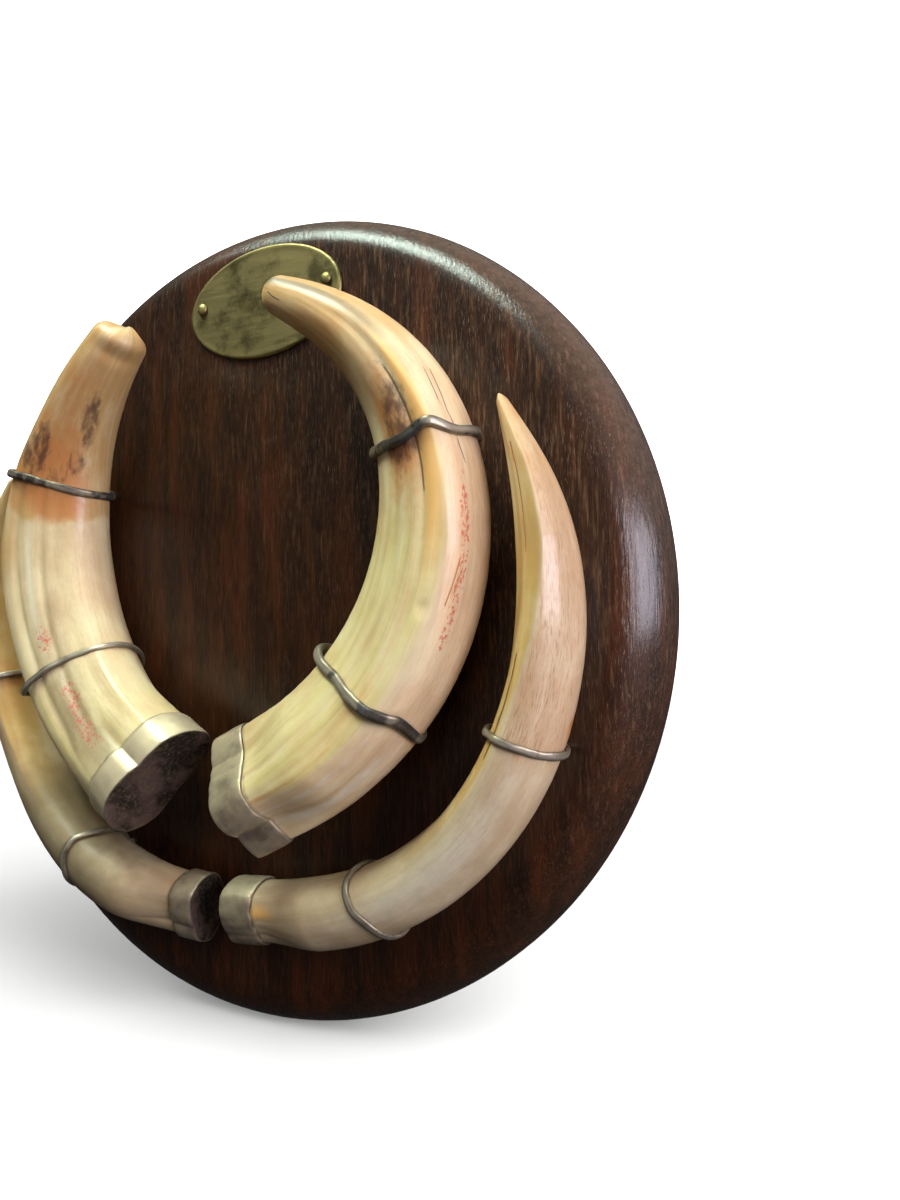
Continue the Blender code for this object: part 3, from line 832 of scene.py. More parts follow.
@dataclass(frozen=True)
class StainedBoardWood:
    """Open-pored hardwood, stained red-brown and varnished to a satin.

    The eye sees near-black brown with redder upright bands, thousands of short pale pores where wax and dust have
    filled the grain, painted lighter on the right and top where the light falls, a greyer upper edge that is painted
    sheen, and window light lying softly in the varnish.
    """

    name: str = "stained_varnished_hardwood"
    dark: str = "#180d07"
    body: str = "#301809"
    red: str = "#4c230f"
    pore: str = "#967c68"
    worn: str = "#6b4a33"
    # The edge colour is painted sheen on the upper rim.
    edge: str = "#705a4a"
    back: str = "#6b4f38"
    fleck: str = "#e8e4da"
    roughness: float = 0.42
    coat: float = 0.75
    coat_roughness: float = 0.16
    band_mm: float = 12.0
    pore_mm: float = 0.2
    rim_start: float = 136 * MM
    fleck_place: tuple[float, float, float] = (109 * MM, -25 * MM, 52 * MM)

    def build(self) -> Material:
        """Builds the material.

        Returns:
            The material. Its grain runs along Z, as the photograph shows it.
        """
        material, tree, shader = new_material(self.name, {
            "Roughness": self.roughness, "Specular IOR Level": 0.08, "Coat Weight": self.coat,
            "Coat Roughness": self.coat_roughness})
        place = add(tree, "ShaderNodeTexCoord").node.outputs["Object"]
        patterns = pattern_set(tree, place, (
            ("bands", 6.0, self.band_mm, self.band_mm * 7), ("strands", 5.0, 1.1, 14.0), ("fibres", 3.0, 0.32, 6.0),
            ("pores", 2.0, self.pore_mm, self.pore_mm * 18), ("clusters", 2.0, 26.0, 40.0),
            ("worn", 5.0, 1.2, 11.0), ("smears", 5.0, 3.0, 3.0)))
        patterns["bands"].node.inputs["Distortion"].default_value = 0.7
        parts = add(tree, "ShaderNodeSeparateXYZ", (place,)).node.outputs
        flat = add(tree, "ShaderNodeCombineXYZ", (parts["X"], parts["Z"]))
        radius = add(tree, VECTOR_MATH, (flat,), operation="LENGTH")
        # Painted light and wear: the pores and worn fibres show lighter on the right and top, where the window light
        # lies and hands reach.
        lean = add(tree, VECTOR_MATH, (place, (0.75, 0.0, 0.75)), operation="DOT_PRODUCT")
        lit_and_worn_side = add(tree, RANGE, (lean, -0.02, 0.13, 0.12, 1.0), interpolation_type="SMOOTHSTEP")
        colour = linear(self.dark)
        for pattern, tint, levels in (
                ("bands", self.body, (0.33, 0.55)), ("bands", self.red, (0.5, 0.72, 0.8)),
                ("strands", self.dark, (0.5, 0.72, 0.75)), ("fibres", self.worn, (0.52, 0.8, 0.36)),
                ("fibres", self.dark, (0.48, 0.25, 0.6))):
            colour = glaze(tree, colour, tint, patterns[pattern], levels, soft=False)
        dashes = add(tree, RANGE, (patterns["pores"], 0.56, 0.78), interpolation_type="SMOOTHSTEP")
        groups = add(tree, RANGE, (patterns["clusters"], 0.35, 0.65, 0.25, 1.0), interpolation_type="SMOOTHSTEP")
        filled = add(tree, MATH, (dashes, groups), operation="MULTIPLY")
        shown = add(tree, MATH, (filled, lit_and_worn_side), operation="MULTIPLY")
        colour = add(tree, MIX, (shown, colour, linear(self.pore)), data_type="RGBA")
        colour = glaze(tree, colour, self.worn, patterns["worn"], (0.5, 0.72, 0.75), lit_and_worn_side)
        # Painted sheen: the rim is glazed greyer towards the top, in smears, where the skylight's sheen lies.
        sheen_smears = add(tree, RANGE, (patterns["smears"], 0.3, 0.7, 0.2, 0.7))
        upper = add(tree, RANGE, (parts["Z"], -0.02, 0.09, 0.1, 1.0), interpolation_type="SMOOTHSTEP")
        wear_and_sheen = add(tree, MATH, (upper, sheen_smears), operation="MULTIPLY")
        colour = glaze(tree, colour, self.edge, radius, (self.rim_start, self.rim_start + 15 * MM), wear_and_sheen)
        colour = glaze(tree, colour, self.back, parts["Y"], (-0.6 * MM, -0.1 * MM, 0.8), soft=False)
        away = add(tree, VECTOR_MATH, (place, self.fleck_place), operation="DISTANCE")
        colour = glaze(tree, colour, self.fleck, away, (0.75 * MM, 0.3 * MM))
        height = add(tree, MATH, (dashes, -0.8, patterns["fibres"]), operation="MULTIPLY_ADD")
        lay_surface(tree, shader, colour, patterns["strands"], height, 0.25, 0.12)
        # The varnish has sunk along the strands, which breaks the window light into upright streaks.
        sunk = add(tree, MATH, (patterns["strands"], 7.0, height), operation="MULTIPLY_ADD")
        coat = add(tree, "ShaderNodeBump", {"Height": sunk, "Strength": 0.34, "Distance": 0.12 * MM})
        tree.links.new(coat, shader.inputs["Coat Normal"])
        return material


# ------------------------------------------------------------------------------------------------- tusks

SWEEP_SIDES = 288
SECTION_POWER = 2.2                      # how squarish a tusk's oval is; 2 is a plain oval
BOARD_FACE = -25.0                       # mm, the y of the board's front
TOWARD = np.array([0.0, -1.0, 0.0])      # to the viewer
FLAT: Pairs = ((0.0, 0.0), (1.0, 0.0))   # nothing anywhere
LEVEL: Pairs = ((-90.0, 0.0), (270.0, 0.0))     # nothing at any section angle


@dataclass(frozen=True)
class Station:
    """One place on a tusk's middle line, in millimetres and degrees."""

    x: float
    z: float
    height: float                        # above the board's face
    half_width: float
    half_depth: float
    tilt: float                          # how far the section's outer side is raised


@dataclass(frozen=True)
class Groove:
    """A valley or, with a negative depth, a rib that runs along a tusk."""

    path: Pairs                          # (share of length, section angle)
    wide: float                          # degrees
    depth: float                         # mm
    fade: Pairs                          # (share of length, strength)


@dataclass(frozen=True)
class Dent:
    """A local hollow or, with a negative depth, a local swelling."""

    share: float
    angle: float
    long: float                          # mm
    wide: float                          # degrees
    depth: float                         # mm


@dataclass(frozen=True)
class Patch:
    """An oval patch of colour. Lean is how many degrees it shifts over its half length."""

    paint: Paint
    share: float
    angle: float
    long: float                          # mm from the middle to where it fades
    wide: float                          # degrees
    strength: float = 1.0
    lean: float = 0.0


@dataclass(frozen=True)
class Line:
    """A fine line on the surface, through (share of length, section angle) points."""

    mark: Mark
    points: Pairs
    strength: float = 1.0


@dataclass(frozen=True)
class TuskForm:
    """What shapes a tusk's section along its length. Angles are degrees from the outer side, 90 facing the viewer."""

    ridge: Pairs                         # (share of length, section angle)
    ridge_rise: float                    # share of the radius
    ridge_width: float
    hollow: tuple[float, float, float]   # degrees from the ridge, width, depth as a share of the radius
    flank: tuple[float, float, float]    # the same, on the ridge's other side
    strength: Pairs                      # (share of length, how strong the three above are)
    crest: Pairs = FLAT                  # (share of length, mm of extra sharp crest on the ridge)
    crest_width: float = 6.0


@dataclass(frozen=True)
class Band:
    """A flattened silver wire round a tusk."""

    name: str
    route: Pairs                         # (section angle, share of length)
    stand: Pairs = LEVEL                 # (section angle, mm that the wire stands off the tusk)
    oxide: Pairs = ((0.0, 0.2), (180.0, 0.2))   # (section angle, how black the wire is there)
    share: float = 1.0                   # how thick it is, against the widest


@dataclass(frozen=True)
class Frames:
    """Where the section stands at each of many shares of a tusk's length. Directions are unit vectors."""

    middle: Array                        # mm
    forward: Array
    outward: Array
    front: Array
    half_width: Array                    # mm
    half_depth: Array                    # mm
    tilt: Array                          # degrees


class Spine:
    """A natural cubic spline through a tusk's stations, from 0 at the root to 1 at the tip."""

    def __init__(self, stations: tuple[Station, ...]) -> None:
        """Solves the spline.

        Args:
            stations: The stations, root to tip.
        """
        self.values = np.array([(s.x, s.z, s.height, s.half_width, s.half_depth, s.tilt) for s in stations])
        steps = np.linalg.norm(np.diff(self.values[:, :3], axis=0), axis=1)
        self.length = float(steps.sum())
        self.at = np.concatenate(([0.0], np.cumsum(steps))) / steps.sum()
        count = len(self.at)
        widths = np.diff(self.at)
        matrix, right = np.eye(count), np.zeros_like(self.values)
        for i in range(1, count - 1):
            matrix[i, i - 1:i + 2] = widths[i - 1], 2 * (widths[i - 1] + widths[i]), widths[i]
            right[i] = 6 * ((self.values[i + 1] - self.values[i]) / widths[i]
                            - (self.values[i] - self.values[i - 1]) / widths[i - 1])
        self.bend = np.linalg.solve(matrix, right)

    def read(self, shares: Array) -> tuple[Array, Array]:
        """Reads the spline.

        Args:
            shares: Shares of the length.

        Returns:
            The stations' six values at each share, and their slopes.
        """
        spans = np.clip(np.searchsorted(self.at, shares) - 1, 0, len(self.at) - 2)
        width = (self.at[spans + 1] - self.at[spans])[:, None]
        low = (self.at[spans + 1] - shares)[:, None] / width
        high = (shares - self.at[spans])[:, None] / width
        start, end = self.values[spans], self.values[spans + 1]
        bend_start, bend_end = self.bend[spans], self.bend[spans + 1]
        values = (low * start + high * end
                  + ((low ** 3 - low) * bend_start + (high ** 3 - high) * bend_end) * width ** 2 / 6)
        slopes = ((end - start) / width
                  + ((3 * high ** 2 - 1) * bend_end - (3 * low ** 2 - 1) * bend_start) * width / 6)
        return values, slopes


@dataclass
class TuskBuild:
    """One tusk with its cap and its two wires."""

    name: str
    side: int                            # +1 right, -1 left
    stations: tuple[Station, ...]
    form: TuskForm
    tip_share: float                     # share of the length over which the tip closes
    tip_power: float                     # 1 closes it to a cone's point, 2 to a ball's
    cap_share: float                     # share of the length at the cap's open edge
    bands: tuple[Band, ...]
    ivory: Ivory
    slot: str
    grooves: tuple[Groove, ...] = ()
    dents: tuple[Dent, ...] = ()
    patches: tuple[Patch, ...] = ()
    lines: tuple[Line, ...] = ()
    yellow_side: Pairs = FLAT            # (share of length, amount) past the ridge
    pink_side: Pairs = FLAT              # the same, before the ridge
    tan_end: Pairs = FLAT
    # (share of length, amount) of painted shade towards the root, partly grime
    shade_root: Pairs = FLAT
    rings: int = 260
    seed: int = 1
    root_shape: Pairs = ()               # (section angle, radius in mm) of the ivory inside the cap
    root_reach: float = 0.2              # share of the length where the root's outline has gone
    cap_light_and_shade: Pairs = LEVEL              # (section angle, tone): above 0 painted light, below 0 painted shade
    end_tilt: Pairs = LEVEL              # (section angle, mm) that the end plate leans to the tip
    tip_slant: Pairs = LEVEL             # (section angle, mm) that the tip's end leans outwards
    spine: Spine = field(init=False)
    root_table: Array = field(init=False)

    def __post_init__(self) -> None:
        """Solves the middle line and rounds the root's outline."""
        self.spine = Spine(self.stations)
        table = soften(across(self.root_shape, np.arange(-90.0, 270.0, 2.0)), 2, 7, "wrap")
        self.root_table = np.append(table, table[0])

    def frames(self, shares: Array) -> Frames:
        """Finds where the section stands.

        Args:
            shares: Shares of the length.

        Returns:
            The frames there.
        """
        values, slopes = self.spine.read(np.asarray(shares, float))
        middle = np.stack([values[:, 0], BOARD_FACE - values[:, 2], values[:, 1]], axis=1)
        forward = unit(np.stack([slopes[:, 0], -slopes[:, 2], slopes[:, 1]], axis=1))
        outward = unit(np.cross(forward, TOWARD)) * self.side
        front = unit(TOWARD - forward * (forward @ TOWARD)[:, None])
        return Frames(middle, forward, outward, front, values[:, 3], values[:, 4], values[:, 5])

    def relief(self, share: Array, angle: Array, plain: Array) -> Array:
        """Turns the plain oval radius into the tusk's own.

        Args:
            share: Share of the length of each point.
            angle: Section angle of each point, in degrees.
            plain: The oval's radius there, in mm.

        Returns:
            The radius, in mm.
        """
        form = self.form
        ridge = across(form.ridge, share)
        shape = form.ridge_rise * bump(angle, ridge, form.ridge_width)
        for turn, wide, depth in (form.hollow, form.flank):
            shape -= depth * bump(angle, ridge + turn, wide)
        radius = plain * (1 + across(form.strength, share) * shape)
        scale = plain / plain.max()
        radius += across(form.crest, share) * scale * crease(angle, ridge, form.crest_width)
        for groove in self.grooves:
            strength = across(groove.fade, share) * scale
            radius -= groove.depth * strength * bump(angle, across(groove.path, share), groove.wide)
        near_root = smooth(self.root_reach, self.cap_share, share)
        outline = np.interp((angle + 90) % 360, np.arange(0.0, 361.0, 2.0), self.root_table)
        radius = radius * (1 - near_root) + outline * near_root
        for dent in self.dents:
            near = np.exp(-((share - dent.share) * self.spine.length / dent.long) ** 2)
            radius -= dent.depth * near * bump(angle, dent.angle, dent.wide)
        along = np.clip((share - 1 + self.tip_share) / self.tip_share, 0.0, 1.0)
        return radius * (1 - along ** self.tip_power) ** (1 / self.tip_power)

    def plain(self, at: Frames, angle: Array) -> Array:
        """The plain oval's radius in mm, for frames and angles of the same number."""
        width, depth = np.abs(on_circle(angle - at.tilt)).T
        return ((width / at.half_width) ** SECTION_POWER
                + (depth / at.half_depth) ** SECTION_POWER) ** (-1 / SECTION_POWER)

    def surface(self, share: Array, angle: Array, grow: float = 0.0, slide: Array | float = 0.0) -> Array:
        """Points on the tusk, or off it by an amount.

        Args:
            share: Share of the length of each point.
            angle: Section angle of each point, in degrees.
            grow: How far off the surface, in mm.
            slide: How far along the middle line, in mm, past what the share gives.

        Returns:
            The points, in mm.
        """
        at = self.frames(share)
        before, here, after = (
            on_circle(turned) * self.relief(share, turned, self.plain(at, turned))[:, None]
            for turned in (angle - 1.5, angle, angle + 1.5))
        run = after - before
        spot = here + unit(np.stack([run[:, 1], -run[:, 0]], axis=1)) * grow
        return (at.middle + at.forward * np.reshape(slide, (-1, 1))
                + at.outward * spot[:, :1] + at.front * spot[:, 1:])

    def build_tusk(self, sweep: Tree) -> Item:
        """Sweeps the tusk's oval section with the tree, then carves it and stores its colours.

        Args:
            sweep: The tree that sweeps a section along a line.

        Returns:
            The finished tusk.
        """
        tip_rings, last = 22, 0.99995    # the last ring stays just short of the end, so that it keeps a width
        even = np.linspace(0.35 * self.cap_share, 1 - self.tip_share, self.rings)
        tip = 1 - self.tip_share * (1 - np.sin(np.linspace(0, math.pi / 2, tip_rings)[1:]))
        shares = np.concatenate([even, np.minimum(tip, last)])
        at = self.frames(shares)
        line = polyline(self.name + "_line", at.middle * MM)
        for name, values in (("front", at.front), ("outward", at.outward), ("half_width", at.half_width * MM),
                             ("half_depth", at.half_depth * MM), ("tilt", np.radians(at.tilt)), ("share", shares)):
            store(line, name, values)
        piece = apply_tree(line, sweep, self.name + "_ivory", sides=SWEEP_SIDES, squareness=SECTION_POWER,
                           dent_depth=0.0, dent_size=100.0, seed=0.0, material=self.ivory.build())
        self.carve(piece)
        return piece

    def carve(self, piece: Item) -> None:
        """Gives a swept oval its ridges, grooves and tip, and stores what its material reads.

        Args:
            piece: The swept skin, with the attributes share, angle and middle.
        """
        clear_mm, slant_start = 0.3, 0.92
        share, angle, middle = (fetch(piece, name) for name in ("share", "angle", "middle"))
        angle = np.where(angle < -90, angle + 360, angle)
        spokes = points_of(piece) - middle
        plain = np.linalg.norm(spokes, axis=1)
        # The skin's own coordinates: a drum of even width, rolled out along the tusk, in mm.
        drum = float(self.spine.values[:, 3].mean())
        skin = np.column_stack([drum * on_circle(angle), share * self.spine.length])
        radius = self.relief(share, angle, plain / MM)
        # Slow unevenness of a grown thing, a third of a millimetre high.
        radius *= 1 + 0.012 * ripple(skin * (1, 1, 0.35), self.seed, 30.0) + 0.003 * ripple(skin, self.seed + 5, 7.0)
        slant = across(self.tip_slant, angle) * smooth(slant_start, 1.0, share)
        moved = (middle + spokes / (plain[:, None] + 1e-12) * (radius * MM)[:, None]
                 + self.frames(share).forward * (slant * MM)[:, None])
        moved[:, 1] = np.minimum(moved[:, 1], (BOARD_FACE - clear_mm) * MM)
        piece.data.vertices.foreach_set("co", moved.ravel())
        store(piece, "skin", skin)
        self.colour(piece, share, angle)
        piece.data.update()

    def colour(self, piece: Item, share: Array, angle: Array) -> None:
        """Stores where each paint and each fine line lies.

        Args:
            piece: The tusk.
            share: Share of the length of each point.
            angle: Section angle of each point, from -90 to 270 degrees.
        """
        length = self.spine.length
        # The ridge parts the yellow side from the pink one, with a few degrees between them.
        past = angle - across(self.form.ridge, share)
        amounts = {paint: np.zeros(len(share)) for paint in Paint}
        amounts[Paint.YELLOW] += across(self.yellow_side, share) * smooth(-3.0, 6.0, past)
        amounts[Paint.PINK] += across(self.pink_side, share) * smooth(3.0, -7.0, past)
        amounts[Paint.TAN] += across(self.tan_end, share + 0.012 * np.sin(np.radians(5 * angle)))
        # Painted shade towards the root, partly grime, and in the dull patches.
        amounts[Paint.PAINTED_SHADE] += across(self.shade_root, share)
        for patch in self.patches:
            off = (share - patch.share) * length / patch.long
            amounts[patch.paint] += patch.strength * np.exp(-off ** 2) * bump(
                angle, patch.angle + patch.lean * off, patch.wide)
        # Grime lies beside the wires, at the cap's open edge and in the grooves.
        beside = [(across(band.route, angle), 0.75, 2.4) for band in self.bands]
        for place, strength, reach_mm in (*beside, (self.cap_share, 0.8, 1.0)):
            amounts[Paint.GRIME] += strength * np.exp(-((share - place) * length / reach_mm) ** 2)
        for groove in self.grooves:
            if groove.depth > 0:
                amounts[Paint.GRIME] += 0.45 * groove.depth * across(groove.fade, share) * bump(
                    angle, across(groove.path, share), groove.wide * 0.6)
        for paint, amount in amounts.items():
            store(piece, paint.value, np.clip(amount, 0.0, 1.0))
        for mark in Mark:
            nearest, signed, strength = self.distances(mark, share, angle)
            store(piece, mark.value, np.clip(signed, -3.0, 3.0))
            store(piece, mark.value + "_near", strength * smooth(1.5, 0.7, nearest))

    def distances(self, mark: Mark, share: Array, angle: Array) -> tuple[Array, Array, Array]:
        """Measures how far each point of the skin is from the nearest line of a kind.

        Args:
            mark: The kind of line.
            share: Share of the length of each point.
            angle: Section angle of each point, from -90 to 270 degrees.

        Returns:
            The distance in mm, the same with a sign for the line's two sides, and the nearest line's strength.
        """
        far_mm = 9.0
        length = self.spine.length
        at = self.frames(share)
        round_mm = np.radians(1.0) * (at.half_width + at.half_depth) / 2
        nearest, signed, strength = (np.full(len(share), value) for value in (far_mm, far_mm, 0.0))
        for line in (found for found in self.lines if found.mark is mark):
            for start, end in zip(line.points, line.points[1:]):
                run = np.stack([np.full(len(share), (end[0] - start[0]) * length),
                                (end[1] - start[1]) * round_mm], axis=1)
                here = np.stack([(share - start[0]) * length, (angle - start[1]) * round_mm], axis=1)
                size = np.linalg.norm(run, axis=1)
                on = np.clip((here * run).sum(axis=1) / size ** 2, 0.0, 1.0)
                apart = np.linalg.norm(here - run * on[:, None], axis=1)
                turn = (run[:, 0] * here[:, 1] - run[:, 1] * here[:, 0]) / size
                closer = apart < nearest
                nearest = np.where(closer, apart, nearest)
                signed = np.where(closer, np.where(turn < 0, -apart, apart), signed)
                strength = np.where(closer, line.strength, strength)
        return nearest, signed, strength

    def build_cap(self, silver: Material) -> Item:
        """Forms the sheet-silver cup on the root: side band, thin open edge and closed end plate.

        Args:
            silver: The material.

        Returns:
            The cap.
        """
        sheet, gap, end_plate, bevel, dish = 0.8, 0.3, 1.0, 0.45, 0.35       # mm
        sides, outer = 240, gap + sheet
        # Each ring: its place from the rim (0) to the open edge (1), its distance off the ivory in mm, and its tone,
        # which is painted shade below 0, on the rim's bevel and the thin open edge, and painted light above 0. The
        # sheet is hammered thin towards its open edge.
        walls = (
            (-0.012, outer - bevel * 1.6, -0.95), (-0.012, outer - bevel, -0.8), (0.0, outer - bevel * 0.3, -0.35),
            (0.035, outer, 0.0), *((step, outer, 0.0) for step in (0.12, 0.25, 0.4, 0.55, 0.7)),
            (0.82, gap + sheet * 0.95, 0.0), (0.92, gap + sheet * 0.8, 0.0), (0.965, gap + sheet * 0.65, -0.02),
            (0.985, gap + sheet * 0.45, -0.25), (0.997, gap + sheet * 0.2, -0.7), (1.0, gap * 0.7, -0.8),
            (1.0, 0.05, 0.0), (0.8, gap * 0.5, 0.0))
        angles = np.linspace(-90.0, 270.0, sides, endpoint=False)
        wave = ripple(np.column_stack([20 * on_circle(angles), np.zeros(sides)]), self.seed + 40, 26.0)
        rim_at = across(self.end_tilt, angles) - gap - end_plate
        points, wear_and_sheen, shaded = [], [], []
        for step, off, painted_tone in walls:
            along = rim_at + (self.cap_share * self.spine.length + wave * 0.5 - rim_at) * step
            inside = np.maximum(along, 0.0)
            ring = self.surface(inside / self.spine.length, angles, off, along - inside)
            dents = ripple(ring, self.seed + 20, 10.0) * 0.12
            points.append(ring + unit(ring - ring.mean(axis=0)) * dents[:, None])
            # Each cap's own painted light and shade, by section angle, is added to the plain rings.
            if painted_tone >= 0:
                painted_tone = painted_tone + across(self.cap_light_and_shade, angles)
            wear_and_sheen.append(np.clip(painted_tone + 1.5 * dents, 0.0, 1.0))
            shaded.append(np.clip(-painted_tone - 1.5 * dents, 0.0, 1.0))
        forward = self.frames(np.array([0.0])).forward[0]
        rim, heart = points[0], points[0].mean(axis=0)
        # The end plate is fully shaded: its dark colour is tarnish and painted shade.
        for inset in (0.92, 0.75, 0.5, 0.25):
            ring = heart + (rim - heart) * inset
            sink = dish * (1 - inset) + 0.12 * ripple(ring, self.seed + 30, 11.0)
            points.insert(0, ring + forward * sink[:, None])
            wear_and_sheen.insert(0, np.zeros(sides))
            shaded.insert(0, np.ones(sides))
        count = len(points)
        fan = [(i, count * sides, (i + 1) % sides) for i in range(sides)]
        faces = [face[::self.side] for face in ring_faces(count, sides) + fan]
        cap = mesh_object(self.name.replace("tusk", "cap") + "_silver",
                          np.concatenate([*points, [heart + forward * dish]]) * MM, faces)
        store(cap, "wear_and_sheen", np.concatenate([*wear_and_sheen, [0.0]]))
        store(cap, "shaded", np.concatenate([*shaded, [1.0]]))
        cap.data.materials.append(silver)
        return cap

    def build_band(self, band: Band, sweep: Tree, silver: Material) -> Item:
        """Bends a flattened wire round the tusk and down into the board.

        Args:
            band: The band.
            sweep: The tree that sweeps a section along a line.
            silver: The material.

        Returns:
            The wire.
        """
        half_width, half_thick = 1.65 * band.share, 1.05 * band.share
        bite, press, waver = 0.15, 0.1, 0.15         # mm: sunk in the skin, more on a crest, off a straight line
        sunk, leg_steps = 4.0, 4                     # mm of each leg in the board, and the points along it
        angles = np.linspace(-72.0, 252.0, 150)
        # The wire is stiffer than the ridges: it bridges narrow grooves and lies on what stands highest.
        shares = soften(across(band.route, angles), 1.6, 13, "edge")
        at = self.frames(shares)
        radius = self.relief(shares, angles, self.plain(at, angles))
        taut = np.maximum(soften(radius, 1.6, 13, "edge"), radius - press)
        reach = (taut + across(band.stand, angles) + half_thick - bite)[:, None]
        flat = on_circle(angles)
        spots = at.middle + at.outward * reach * flat[:, :1] + at.front * reach * flat[:, 1:]
        rough = ripple(spots, self.seed + len(band.name), 16.0)
        spots = spots + at.forward * (waver * rough)[:, None]
        legs = [np.array([[x, level, z] for level in
                          np.linspace(BOARD_FACE + sunk, min(y, BOARD_FACE + 1.0), leg_steps)[:-1]])
                for x, y, z in (spots[0], spots[-1])]
        route = np.concatenate([legs[0], spots, legs[1][::-1]])
        run = unit(np.gradient(route, axis=0))
        # The legs keep the broad direction that the wire has where it leaves the board.
        broad = np.pad(at.forward, ((len(legs[0]), len(legs[1])), (0, 0)), mode="edge")
        broad = unit(broad - run * (broad * run).sum(axis=1)[:, None])
        away = np.cross(broad, run)
        away *= np.sign(((route - at.middle.mean(axis=0)) * away).sum(axis=1))[:, None]
        beat = ripple(route, self.seed + 3 * len(band.name), 17.0)
        line = polyline(band.name + "_line", route * MM)
        for name, values in (("front", away), ("outward", broad),
                             ("half_width", (half_width + 0.16 * beat) * MM),
                             ("half_depth", (half_thick - 0.12 * beat) * MM),
                             ("tilt", 0.12 * ripple(route, self.seed + 7, 16.0))):
            store(line, name, values)
        piece = apply_tree(line, sweep, band.name + "_wire", sides=28, squareness=2.6, dent_depth=0.2 * MM,
                           dent_size=240.0, seed=float(self.seed), material=silver)
        places = points_of(piece) / MM
        nearest = np.array([np.argmin(((route - place) ** 2).sum(axis=1)) for place in places])
        turned = angles[np.clip(nearest - len(legs[0]), 0, len(angles) - 1)]
        black = smooth(0.3, 0.6, across(band.oxide, turned) + 0.22 * ripple(places, self.seed + 9, 4.5))
        store(piece, "wear_and_sheen", 0.55 * bump(fetch(piece, "angle"), 90.0, 38.0) * (1 - 0.8 * black))
        store(piece, "shaded", black * 0.72)
        return piece

    def build(self, sweep: Tree, cap_silver: Material, wire_silver: Material) -> None:
        """Builds the tusk, its cap and its wires, and fastens them.

        Args:
            sweep: The tree that sweeps a section along a line.
            cap_silver: The caps' material.
            wire_silver: The wires' material.
        """
        fasten(self.build_tusk(sweep), self.slot, self.name)
        fasten(self.build_cap(cap_silver), "cap_silver", self.name.replace("tusk", "cap"))
        for band in self.bands:
            fasten(self.build_band(band, sweep, wire_silver), "wire_silver", band.name)


UPPER_FORM = TuskForm(
    ridge=((0.0, 64), (0.2, 56), (0.5, 48), (0.65, 57), (0.8, 69), (1.0, 78)),
    ridge_rise=0.1, ridge_width=20.0, hollow=(70, 34, 0.16), flank=(-35, 16, 0.07),
    strength=((0.0, 0.9), (0.25, 1.0), (0.7, 1.0), (0.9, 0.5), (1.0, 0.1)),
    crest=((0.0, 0.0), (0.42, 0.0), (0.52, 1.1), (0.66, 1.4), (0.75, 0.6), (0.85, 0.0)), crest_width=9.0)
LOWER_FORM = TuskForm(
    ridge=((0.0, 112), (0.45, 109), (0.55, 103), (0.63, 95), (0.7, 86), (0.8, 75), (0.9, 74), (1.0, 86)),
    ridge_rise=0.14, ridge_width=24.0, hollow=(50, 20, 0.10), flank=(-55, 24, 0.08),
    strength=((0.0, 0.2), (0.25, 0.4), (0.6, 1.0), (1.0, 1.0)),
    crest=((0.0, 0.0), (0.4, 0.0), (0.5, 0.8), (0.9, 1.2), (1.0, 0.5)), crest_width=9.0)

UPPER_IVORY = Ivory("polished_tusk_ivory_upper")
# The lower ivory's dull colour is painted shade, as on the upper ivory.
LOWER_IVORY = Ivory("polished_tusk_ivory_lower", body="#c6ae8b", yellow="#cba35c", pink="#c2a07d", tan="#d0a36c",
                    dull="#6f6147", fibre_amount=0.35, streak_amount=0.35, dash_amount=1.0, coat=0.4,
                    coat_roughness=0.11)
SHADED_IVORY = replace(LOWER_IVORY, name="polished_tusk_ivory_shaded", coat=0.06, roughness=0.55)

